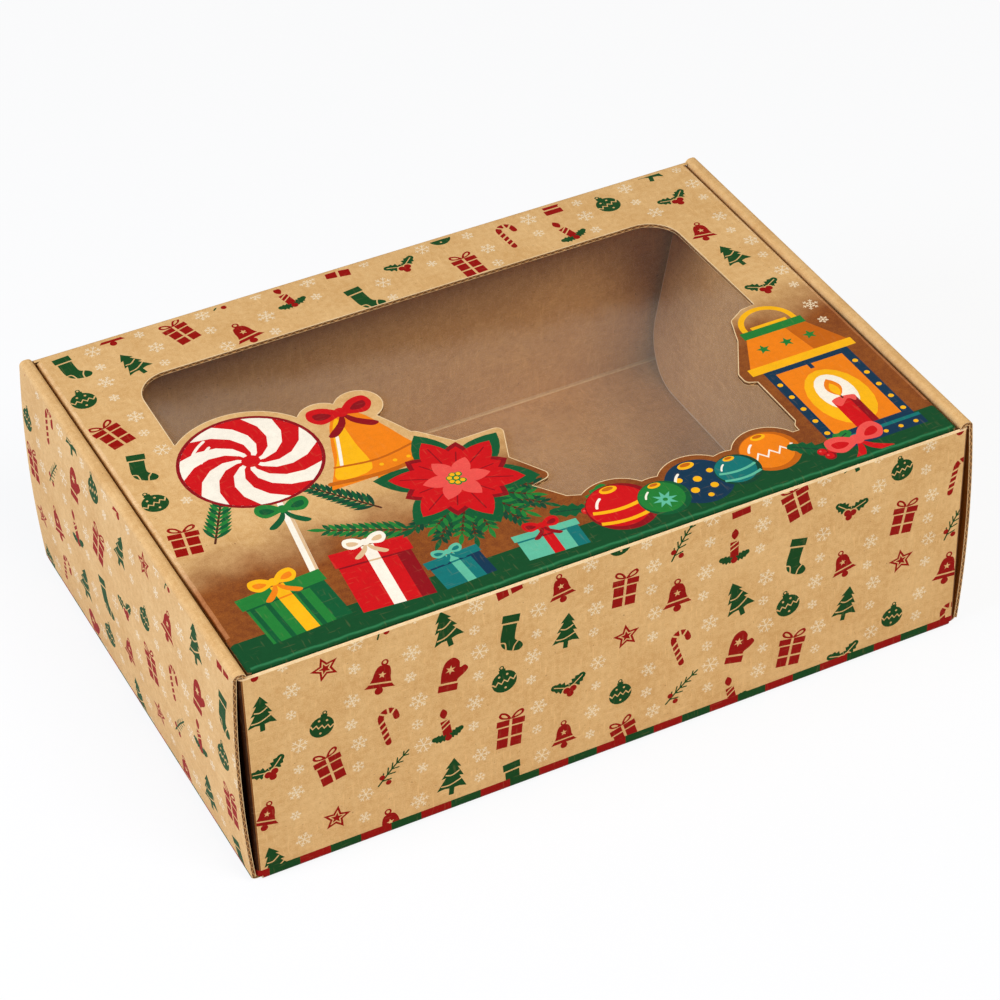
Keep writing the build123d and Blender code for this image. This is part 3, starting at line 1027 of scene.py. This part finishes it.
def roll_top(node, side):
    """The narrow top of a side wall, rolled over the corner flaps."""
    outer_x = roll_high[0] - fold_radius
    inner_x = roll_low[0] + fold_radius
    base_z = roll_high[2] - fold_radius
    strip = outer_x - inner_x
    length = 2 * fold_length + strip
    half = roll_high[1]

    def place(u, v, depth):
        radius = fold_radius - depth
        if v < fold_length:
            turn = v / fold_radius
            x, z = outer_x + radius * math.cos(turn), radius * math.sin(turn)
        elif v < fold_length + strip:
            x, z = outer_x - (v - fold_length), radius
        else:
            turn = (v - fold_length - strip) / fold_radius
            x, z = inner_x - radius * math.sin(turn), radius * math.cos(turn)
        return Vector((side * x, side * u, base_z + z))

    guides = [("v", fold_length * i / FOLD_STEPS) for i in range(1, FOLD_STEPS + 1)]
    guides += fold_guides("v", fold_length + strip)
    board_for(
        node, [upright(half, 0, length)], place, (), guides, across="v",
        offset=330.0 + 20 * side, joined=lambda u, v: v < 0.01 or v > length - 0.01,
    )


def flat_board(node, towards, up, across, offset, edge=BOARD_EDGE, inner="inside", prints=()):
    """A flat panel with the CAD face's own outline."""
    *axes_and_height, loops = cad_face(node, towards, up)
    board_for(
        node, loops, flat_place(*axes_and_height), prints, across=across, offset=offset,
        edge=edge, skins=("kraft", inner),
    )


for side, name in ((1, "right"), (-1, "left")):
    out = (side, 0, 0)
    outer_wall(f"{name}_outer_wall", side)
    roll_top(f"{name}_roll_top", side)
    flat_board(f"{name}_inner_wall", (-side, 0, 0), (0, 0, 1), "v", 410.0 + side)
    flat_board(f"{name}_ear", out, (0, 0, 1), "v", 470.0 + 9 * side, PRESSED_EDGE)
    for end, way in (("front", -side), ("back", side)):
        # A near-black painted shade on each corner flap's outer face near its end, seen through the gap beside the
        # end wall
        shade = box(wall_outer - painted_shade_reach, 0, wall_outer, lid_top)
        flat_board(
            f"{end}_{name}_corner_flap", out, (0, 0, 1), "u", 530.0 + side,
            prints=[("deep recess", moved(shade, flip=way))],
        )
end_wall("front_wall", -1)
end_wall("back_wall", 1)
# The floor's inside is a darker copy of the inside paper, as painted shade
flat_board("floor_panel", (0, 0, -1), (0, -1, 0), "u", 600.0, inner="floor inside")
flat_board("tuck_flap", (0, -1, 0), (0, 0, 1), "u", 650.0)


# The window in the lid and the still life printed beside it. Places are shares of the
# window's half width to the right and of its depth towards the front.
film_lap = 9.0
window_half_width = film_high[0] - film_lap
window_back = film_high[1] - film_lap
window_depth = window_back - film_low[1] - film_lap
# The green band along the lid's front, and the rounding of the lid's corner stubs
green_band = 17.5
stub_round = 1.8


def window_point(across, down):
    return across * window_half_width, window_back - down * window_depth


def swirl(x, y, radius):
    """A round boiled sweet with curved stripes."""
    inner = radius * 0.95
    shapes = [("wine", disc(x, y, radius, 48)), ("cream", disc(x, y, inner, 48))]
    stripes = 7
    width = 180 / stripes
    for i in range(stripes):
        start = 360 * i / stripes
        near = [(r, start + 75 * r) for r in (0.06, 0.2, 0.4, 0.6, 0.8, 1.0)]
        rim = [(1.0, start + 75 + width * k / 4) for k in (1, 2, 3)]
        far = [(r, angle + width) for r, angle in near[::-1]]
        outline = [polar(x, y, r * inner, angle) for r, angle in near + rim + far]
        shapes.append(("cherry", outline))
    shapes.append(("cherry", disc(x, y, radius * 0.13, 16)))
    for share in (0.8, 0.66):
        shine = arc(x, y, radius * share, 150 - 38 * share, 150 + 8 * share, 8)
        shapes.append(("cream", stroke(shine, radius * 0.045)))
    return shapes


def bow(x, y, size, ink, dark, turn=0):
    """A ribbon bow with two loops, two tails and a knot."""
    tail = [(0, 0), (0.35, -0.5), (0.9, -1.0), (0.62, -1.12), (0.1, -0.6)]
    loop = [(0, 0), (0.45, 0.5), (1.0, 0.55), (1.15, 0.1), (0.85, -0.3), (0.4, -0.25)]
    hole = [(0.35, 0.02), (0.6, 0.26), (0.92, 0.28), (0.9, 0.0), (0.62, -0.1)]
    parts = ((dark, tail), (ink, loop), (dark, hole))
    shapes = on_both_sides([(skin, smooth(points, True)) for skin, points in parts])
    return placed(shapes + [(ink, disc(0, 0.02, 0.26, 14))], x, y, turn, size)


def present(x, y, width, height, turn, paper, shade, ribbon, ribbon_shade, stripes=None):
    """A wrapped box with a lid, a ribbon and a bow. Its place is its bottom middle."""
    half, top = width / 2, height * 0.76
    side, strap = half * 0.93, width * 0.08
    shapes = [(paper, upright(side, 0, top)), (shade, box(half * 0.55, 0, side, top))]
    for i in range(5 if stripes else 0):
        left = half * (0.36 * i - 0.86)
        shapes.append((stripes, box(left, 0, left + half * 0.11, top)))
    shapes += [
        (ribbon, upright(strap, 0, top)), (shade, upright(side, top - 0.9, top)),
        (paper, upright(half, top, height)), (ribbon, upright(strap, top, height)),
        (ribbon_shade, upright(strap, top - 0.9, top)),
    ]
    shapes += bow(0, height + width * 0.06, width * 0.24, ribbon, ribbon_shade)
    return placed(shapes, x, y, turn)


def bauble(x, y, radius, ink, shade, trim, pattern):
    """A glass ball with its cap, seen from a little above."""
    shapes = [(shade, disc(0, 0, 1, 36)), (ink, disc(-0.07, 0.07, 0.88, 32))]
    if pattern == "bands":
        for height in (-0.42, 0.08):
            line = [(0.105 * t, height - 0.16 * (1 - (t / 8) ** 2)) for t in range(-8, 9)]
            shapes.append((trim, stroke(line, 0.13, False)))
    elif pattern == "dots":
        for px, py, r in (
            (-0.5, 0.3, 0.11), (0, 0.12, 0.13), (0.5, 0.3, 0.1), (-0.3, -0.3, 0.13),
            (0.3, -0.34, 0.12), (0, -0.68, 0.09), (-0.68, -0.1, 0.08), (0.68, -0.08, 0.08),
        ):
            shapes.append((trim, disc(px, py, r, 14)))
    elif pattern == "star":
        shapes += [(trim, star(-0.02, -0.1, 0.5, 0.22, 8)), (ink, disc(-0.02, -0.1, 0.1, 12))]
    else:
        zigzag = [(-0.8 + 0.2 * i, -0.22 if i % 2 else 0.06) for i in range(9)]
        shapes.append((trim, stroke(zigzag, 0.1, False)))
    shapes += [
        ("gold", oval(0, 0.8, 0.26, 0.15)), ("bronze", oval(0, 0.84, 0.17, 0.08)),
        ("cream", stroke(arc(0, 0, 0.68, 125, 160, 6), 0.08)),
    ]
    return placed(shapes, x, y, 0, radius)


def fir_twig(x, y, length, turn, dark="fir", light="leaf"):
    """A fir twig with pointed needles on both sides."""
    shapes = [("bark", stroke([(0, 0), (length * 0.94, 0)], 0.9))]
    count = int(length / 2.6)
    for i in range(count):
        place = length * (0.08 + 0.86 * i / count)
        needle = 8.2 * (1 - 0.45 * i / count)
        for side in (1, -1):
            tip = polar(place, 0, needle, side * 42)
            shapes.append((dark if (i + side) % 2 else light, leaf(place, 0, *tip, 1.9, 4)))
    shapes.append((light, leaf(length * 0.9, 0, length + 4.5, 0, 2.0, 4)))
    return placed(shapes, x, y, turn)


def picture_holly(x, y, size, turn):
    """Two dark holly leaves and three berries."""
    shapes = []
    for side, ink in ((30, "leaf"), (150, "fir")):
        vein = stroke([(0.12, 0), (0.85, 0)], 0.04)
        shapes += placed([(ink, holly_leaf(1.0, 0.55)), ("spruce", vein)], turn=side)
    for px, py in ((-0.12, -0.05), (0.14, -0.08), (0, -0.26)):
        shapes += [
            ("wine", disc(px, py, 0.15, 14)), ("cherry", disc(px - 0.02, py + 0.02, 0.12, 14)),
            ("rose", disc(px - 0.05, py + 0.05, 0.035, 8)),
        ]
    return placed(shapes, x, y, turn, size)


def poinsettia(x, y, tip, valley):
    """A flower with green leaves at its tips and two rings of red bracts."""
    petals = 6
    step = 360 / petals
    first = 35
    rings = (
        (first, tip, 15.5, "fir", "leaf"),
        (first + step / 2, valley * 1.12, 13.0, "wine", None),
        (first, tip * 0.82, 12.5, "cherry", "wine"),
        (first + step / 2, valley * 0.98, 10.5, "cherry", "wine"),
        (first + step / 4, tip * 0.42, 7.2, "rose", None),
    )
    shapes = []
    for angle, length, width, ink, vein in rings:
        for i in range(petals):
            px, py = polar(0, 0, length, angle + step * i)
            shapes.append((ink, leaf(0, 0, px, py, width, 9)))
            if vein:
                line = [(px * 0.25, py * 0.25), (px * 0.82, py * 0.82)]
                shapes.append((vein, stroke(line, 0.5)))
    for i in range(7):
        px, py = polar(0, 0, 2.6 if i else 0, 51.4 * i)
        shapes += [("leaf", disc(px, py, 1.5, 12)), ("gold", disc(px, py + 0.2, 1.0, 12))]
    return placed(shapes, x, y)


def bell(x, y):
    """A golden bell. Its place is the middle of its mouth."""
    half = smooth([(0, 40), (6.2, 36.4), (11.4, 24.3), (15.6, 12), (21.6, 0.8), (22.6, -2.0)])
    shine = [(-3, 37.5), (-8, 30), (-12.5, 16), (-18.5, 3), (-4, 3), (-3.2, 20)]
    shapes = [
        ("bronze", disc(0, -3.5, 4.6, 20)), ("amber", disc(-0.8, -3.0, 3.6, 18)),
        ("amber", both_halves(half)), ("gold", smooth(shine, True)),
        ("cream", curve([(-7.6, 27), (-10.6, 18), (-13.4, 10)], 1.3)),
        ("bronze", curve([(-21.9, 1.5), (0, -1.4), (21.9, 1.5)], 2.2)),
        ("bronze", curve([(-16.4, 10), (0, 7.2), (16.4, 10)], 1.1)),
    ]
    beads = [(-11 + 5.5 * i, 3.6 - 0.1 * (i - 2) ** 2) for i in range(5)]
    return placed(shapes + dots("gold", beads, 0.9, 10), x, y)


def lantern(x, low, high):
    """A lantern with a candle. It stands from low to high about its middle."""
    tall = high - low
    eave, roof_top = 0.585 * tall, 0.83 * tall
    roof_low = eave + 4
    wax = [(-5, 28), (-1, 29.4), (5, 28), (3.6, 24.6), (1.4, 27), (-3.2, 23.8)]
    roof = [(-22, roof_low), (22, roof_low), (12.6, roof_top), (-12.6, roof_top)]
    roof_shade = [(7, roof_low), (22, roof_low), (12.6, roof_top), (4, roof_top)]
    shapes = [
        ("gold", disc(0, tall - 12.4, 12.2, 32)), (None, disc(0, tall - 12.4, 9.8, 32)),
        ("navy", upright(20.4, 0, 7)), ("teal", upright(20.4, 5.2, 7)),
        ("navy", upright(18.8, 7, eave)), ("amber", upright(14.8, 10, eave - 3)),
        ("gold", oval(0, eave / 2 + 1.5, 12.0, 18.5)), ("cream", oval(0, eave / 2 + 4.5, 7.4, 12)),
        ("cherry", upright(5, 10, 28)), ("wine", box(2, 10, 5, 28)), ("rose", smooth(wax, True)),
        ("bark", upright(0.4, 28, 31)), ("amber", leaf(0, 29.6, 0.4, 41.5, 6.4)),
        ("gold", leaf(0, 30, 0.2, 38.5, 3.6)), ("navy", upright(0.9, eave - 6, eave)),
        ("amber", roof), ("bronze", roof_shade), ("gold", upright(23.2, eave, eave + 4.6)),
        ("leaf", upright(13.8, roof_top - 1.4, roof_top + 3.2)),
        ("gold", upright(8, roof_top + 3.2, roof_top + 5)),
    ]
    shapes += dots("gold", [(side * 16.8, 12 + 8.6 * i) for side in (-1, 1) for i in range(5)], 1.15)
    star_y = (roof_low + roof_top) / 2
    shapes += [("leaf", star(-10.4 + 10.4 * i, star_y, 3.0, 1.3)) for i in range(3)]
    shapes += dots("gold", [(-16.5 + 6.6 * i, 2.6) for i in range(6)], 1.0)
    return placed(shapes, x, low)


def still_life():
    """The lid's picture, in sheet places, from the back to the front."""
    front = -wall_outer
    lantern_x = 117.4
    sweet_x, sweet_y = window_point(-0.815, 0.450)
    sweet_radius = 0.185 * window_depth
    sweet_low = sweet_y - sweet_radius
    bell_x, bell_y = window_point(-0.460, 0.640)
    flower_x, flower_y = window_point(-0.285, 0.755)
    shapes = fir_twig(-128, -34, 34, 62) + fir_twig(-60, -62, 36, 152)
    shapes += fir_twig(-66, -44, 34, 128, "spruce", "fir")
    stick = [(sweet_x, sweet_low + 1), (sweet_x - 7.5, front + 26)]
    shapes.append(("cream", stroke(stick, 3.4)))
    shapes.append(("sand", stroke(moved(stick, 1.1), 1.1)))
    shapes += swirl(sweet_x, sweet_y, sweet_radius)
    shapes += bow(sweet_x - 1.2, sweet_low - 4, 9, "leaf", "fir", -6)
    shapes += bell(bell_x, bell_y) + bow(bell_x, bell_y + 40, 11.5, "cherry", "wine")
    shapes += present(-116, front + 12, 34, 28, 4, "leaf", "fir", "gold", "amber", "fir")
    shapes += present(-83, front + 10, 30, 35, -5, "cherry", "wine", "cream", "sand")
    for turn, length in ((-24, 32), (-46, 34), (-70, 32), (252, 32), (228, 34), (206, 32)):
        shapes += fir_twig(flower_x, flower_y - 6, length, turn, "spruce", "fir")
    for turn, length in ((-34, 26), (-58, 28), (264, 26), (240, 28), (216, 26)):
        shapes += fir_twig(flower_x, flower_y - 8, length, turn)
    shapes += present(-55, front + 9, 22, 17, 3, "teal", "navy", "mint", "teal")
    shapes += poinsettia(flower_x, flower_y, 0.205 * window_depth, 0.130 * window_depth)
    shapes += present(-20, front + 8, 26, 15, -3, "mint", "teal", "cherry", "wine")
    shapes += picture_holly(1, -81, 15, 12)
    for across, down, share, *looks in (
        (0.100, 1.045, 0.090, "cherry", "wine", "gold", "bands"),
        (0.370, 1.050, 0.086, "navy", "navy", "gold", "dots"),
        (0.640, 1.030, 0.078, "amber", "bronze", "cream", "zigzag"),
        (0.235, 1.065, 0.066, "leaf", "fir", "mint", "star"),
        (0.505, 1.055, 0.060, "teal", "spruce", "mint", "bands"),
    ):
        shapes += bauble(*window_point(across, down), share * window_depth, *looks)
    shapes += lantern(lantern_x, front + 9.6, window_point(0, 0.485)[1])
    shapes += picture_holly(95, front + 13, 15, -6)
    return shapes + bow(lantern_x - 9, front + 13, 11, "rose", "cherry", 8)


def clear_of(outlines):
    """A test that a spot with some reach keeps off all the outlines."""
    def wanted(x, y, reach):
        for outline in outlines:
            inside = False
            for (ax, ay), (bx, by) in zip(outline, outline[1:] + outline[:1]):
                dx, dy = bx - ax, by - ay
                t = clamp(((x - ax) * dx + (y - ay) * dy) / max(dx * dx + dy * dy, 1e-9))
                if math.hypot(x - ax - t * dx, y - ay - t * dy) < reach:
                    return False
                if (ay > y) != (by > y) and x < ax + (y - ay) / dy * dx:
                    inside = not inside
            if inside:
                return False
        return True
    return wanted


lid_outline, window_outline = cad_face("lid_panel", (0, 0, 1), (0, 1, 0))[-1]
lid_outline_back = max(v for _, v in lid_outline)
lid_side_x = ear_crease_low[0]


def lid_place(u, v, depth):
    """The flat lid, mitred at the back and softly bent down at its corner stubs."""
    shift = mitre_setback * depth / board
    y = v + shift * clamp((v - lid_outline_back + mitre_run) / mitre_run)
    past = math.hypot(max(abs(u) - lid_side_x, 0), max(tuck_hinge[1] - v, 0))
    past = min(past, board)
    drop = stub_round - math.sqrt(stub_round**2 - past**2)
    return Vector((u, y, lid_top - depth - drop * (1 - depth / board)))


picture = still_life()
band = [("band", box(-side_outer, -side_outer, side_outer, -wall_outer + green_band))]
outlines_in_use = [window_outline] + [points for _, points in picture + band]
lid_print = scattered((-137, -26.3), (142, 100), 6, clear_of(outlines_in_use)) + band + picture
# A pale line along the window's cut on the lid's top: crushed board and a painted highlight
halfway = len(window_outline) // 2
for rim in (window_outline[:halfway + 1], window_outline[halfway:] + window_outline[:1]):
    lid_print.append(("crushed", stroke(rim, 0.7, False)))


def lid():
    """The printed lid with its window."""
    bends = [board * k / 4 for k in range(4)]
    guides = [("v", tuck_hinge[1] - b) for b in bends]
    guides += [("u", side * (lid_side_x + b)) for b in bends for side in (1, -1)]
    back = lid_outline_back - 0.01
    relief = 0.3

    def joined(u, v):
        beside_ear = ear_crease_low[1] - relief < v < ear_crease_high[1] + relief
        side_edge = abs(abs(u) - lid_side_x) < 0.01 and beside_ear
        front_edge = abs(v - tuck_crease_high[1]) < 0.01
        return v > back or side_edge or (front_edge and abs(u) < tuck_crease_high[0] + relief)

    board_for(
        "lid_panel", [lid_outline, window_outline], lid_place, lid_print, guides,
        skins=("lid", "inside"), joined=joined,
    )


lid()


def crease_piece(node, half, place, length, guides, ends, sheet_at, prints=()):
    """A soft fold between two bodies, with the lid's print going on over it."""
    piece = make_piece(
        f"{node}_board", [upright(half, 0, length)], place, prints, guides,
        skins=("lid", "inside"), edge=plain_edge(board, "core"), joined=lambda u, v: True,
        sheet_at=sheet_at,
    )
    start, end = [[c * MM for c in point] for point in ends]
    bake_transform(piece)
    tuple(start)
    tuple(end)
    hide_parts(node)


def fold_highlight_and_wear(half, strips):
    """Wavering strips along a fold: a painted highlight on its rounding, and the print worn lighter there."""
    count = int(half)
    places = [half * (i / count) for i in range(-count, count + 1)]
    line = [(u, 0.8 + 0.12 * math.sin(0.37 * u) + 0.08 * math.sin(0.9 * u)) for u in places]
    return [(skin, stroke(line, width, False)) for skin, width in strips]


def hinge_crease():
    """The soft fold between the back wall and the lid, seen from behind."""
    arc_y = wall_outer - fold_radius
    arc_z = lid_top - fold_radius
    low_z = back_high[2] - mitre_setback
    rise = arc_z - low_z
    run = arc_y - lid_outline_back
    length = rise + fold_length + run

    def outer(v):
        if v < rise:
            return wall_outer, low_z + v
        if v < rise + fold_length:
            turn = (v - rise) / fold_radius
            return arc_y + fold_radius * math.cos(turn), arc_z + fold_radius * math.sin(turn)
        return arc_y - (v - rise - fold_length), lid_top

    def place(u, v, depth):
        y, z = outer(v)
        share = clamp(v / length)
        relief = lid_hinge[2] - back_high[2]
        inner_y = lid_hinge[1] - relief * share
        inner_z = back_high[2] + relief * share
        t = depth / board
        return Vector((-u, y + (inner_y - y) * t, z + (inner_z - z) * t))

    guides = [("v", rise + fold_length * i / FOLD_STEPS) for i in range(FOLD_STEPS + 1)]
    reach = math.hypot(board, mitre_setback) / math.sqrt(2)
    x, y, z = lid_hinge
    crease_piece(
        "lid_hinge_crease", roll_low[0] - 0.1, place, length, guides,
        ((x, y + reach, z - reach), (x, y - reach, z + reach)),
        lambda u, v: (-u, lid_outline_back + length - v),
    )


def flap_crease(flap, out, half, middle=0.0, prints=()):
    """The soft fold between the lid and a flap that hangs from it.

    The direction out points away from the lid, level.
    """
    hinge = Vector(joint(f"{flap}_fold")[0])
    normal = cad_face(flap, out, (0, 0, 1))[2]
    turn_all = QUARTER + math.asin(-normal.z)
    out = Vector(out)
    along_hinge = Vector((0, 0, 1)).cross(out)
    straight = 0.2
    length = board * turn_all + 2 * straight
    inner_radius = 0.25

    def place(u, v, depth):
        radius = board - depth * (board - inner_radius) / board
        turn = clamp((v - straight) / board, 0, turn_all)
        past = v - straight - board * turn
        on = radius * math.sin(turn) + past * math.cos(turn)
        rise = radius * math.cos(turn) - past * math.sin(turn)
        return hinge + along_hinge * (u + middle) + out * on + Vector((0, 0, rise))

    def sheet_at(u, v):
        flat = hinge + along_hinge * (u + middle) + out * v
        return flat.x, flat.y

    steps = 10
    guides = [("v", straight + board * turn_all * i / steps) for i in range(steps + 1)]
    across = out * math.cos(turn_all / 2) - Vector((0, 0, 1)) * math.sin(turn_all / 2)
    across *= board * math.sin(turn_all / 2) + 0.1
    crease_piece(
        f"{flap}_crease", half, place, length, guides,
        (hinge - across, hinge + across), sheet_at, prints,
    )


hinge_crease()
crease_overlap = 0.58
ear_half = (ear_crease_high[1] - ear_crease_low[1]) / 2 + crease_overlap
ear_middle = (ear_crease_high[1] + ear_crease_low[1]) / 2
# Painted highlights along the ear folds and the tuck fold, which also stand for print worn lighter there
for side, name in ((1, "right"), (-1, "left")):
    fold_highlights = fold_highlight_and_wear(ear_half, [("worn lid", 1.7)])
    flap_crease(f"{name}_ear", (side, 0, 0), ear_half, side * ear_middle, fold_highlights)
tuck_half = tuck_crease_high[0] + crease_overlap
fold_highlights = fold_highlight_and_wear(tuck_half, [("worn band", 1.3), ("rubbed band", 0.6)])
band_end = box(-tuck_half - 1, -1, tuck_half + 1, 3 * board)
flap_crease("tuck_flap", (0, -1, 0), tuck_half, prints=[("band", band_end), *fold_highlights])


def window_sheet(node, skin):
    """The film or its line of glue, with the CAD face's own outline."""
    low, high = box_mm(node)
    *axes_and_height, loops = cad_face(node, (0, 0, 1), (0, 1, 0))
    piece = make_piece(
        f"{node}_sheet", loops, flat_place(*axes_and_height), skins=(skin, skin),
        edge=plain_edge(high[2] - low[2], skin),
    )
    stands_for(piece, node)


window_sheet("window_film", "film")
window_sheet("window_glue", "glue")


# Floor, lamps and camera


def studio_floor():
    """A white floor that keeps the box's soft shadow."""
    mesh = bpy.data.meshes.new("studio_floor")
    corners = upright(floor_reach, -floor_reach, floor_reach)
    mesh.from_pydata([(x, y, 0) for x, y in corners], [], [(0, 1, 2, 3)])

    def shader_in(g):
        matt = g.node("BsdfDiffuse", {"Color": (0.8, 0.8, 0.8, 1)})
        white = g.node("Emission", {"Color": (1, 1, 1, 1), "Strength": 1.0})
        return g.mix_shaders(g.math("MULTIPLY", g.seen(), 0.88), matt, white)

    mesh.materials.append(new_material("studio white", shader_in))
    floor = added_object("studio_floor", mesh)
    floor.location.z = -floor_gap


def world_light(strength):
    """Even white light all round, plain white to the camera."""
    world = bpy.data.worlds.new("studio")
    bpy.context.scene.world = world
    world.use_nodes = True
    g = Graph(world.node_tree)
    level = g.math("MULTIPLY_ADD", g.seen(), 1.0 - strength, strength)
    light = g.node("Background", {"Color": (1, 1, 1, 1), "Strength": level})
    g.node("OutputWorld", {"Surface": light.outputs[0]})


def lamp(name, place, size, power, colour):
    """A square soft lamp that faces the box, in metres and watts."""
    data = bpy.data.lights.new(name, "AREA")
    data.size = size
    data.energy = power
    data.color = colour
    made = added_object(name, data)
    made.location = place
    aim = Vector(lamp_target) - Vector(place)
    made.rotation_mode = "QUATERNION"
    made.rotation_quaternion = aim.to_track_quat("-Z", "Y")


def photo_camera():
    """The photograph's camera, solved from the corners of the box."""
    data = bpy.data.cameras.new("photo_camera")
    data.sensor_width = 36.0
    data.lens = camera_lens
    data.clip_start = 0.05
    data.clip_end = 50.0
    camera = added_object("photo_camera", data)
    aside = camera_look.cross(camera_up).normalized()
    turn = Matrix((aside, aside.cross(camera_look), -camera_look)).transposed()
    camera.matrix_world = Matrix.Translation(camera_place) @ turn.to_4x4()
    bpy.context.scene.camera = camera


# The studio's places in metres, and the camera's lens in millimetres
floor_reach = 20.0
floor_gap = 0.0002
lamp_target = (0, 0, 0.05)
camera_place = (-0.43408, -0.90329, 0.84652)
camera_look = Vector((0.34091, 0.70310, -0.62405)).normalized()
camera_up = Vector((0.30014, 0.54767, 0.78101))
camera_lens = 117.2

studio_floor()
world_light(0.34)
lamp("key_lamp", (0.2, -0.9, 1.3), 0.7, 15.0, (1.0, 0.98, 0.96))
lamp("fill_lamp", (-1.3, -0.1, 0.85), 0.6, 18.5, (0.67, 0.76, 1.0))
photo_camera()
bpy.context.scene.view_settings.view_transform = "Standard"
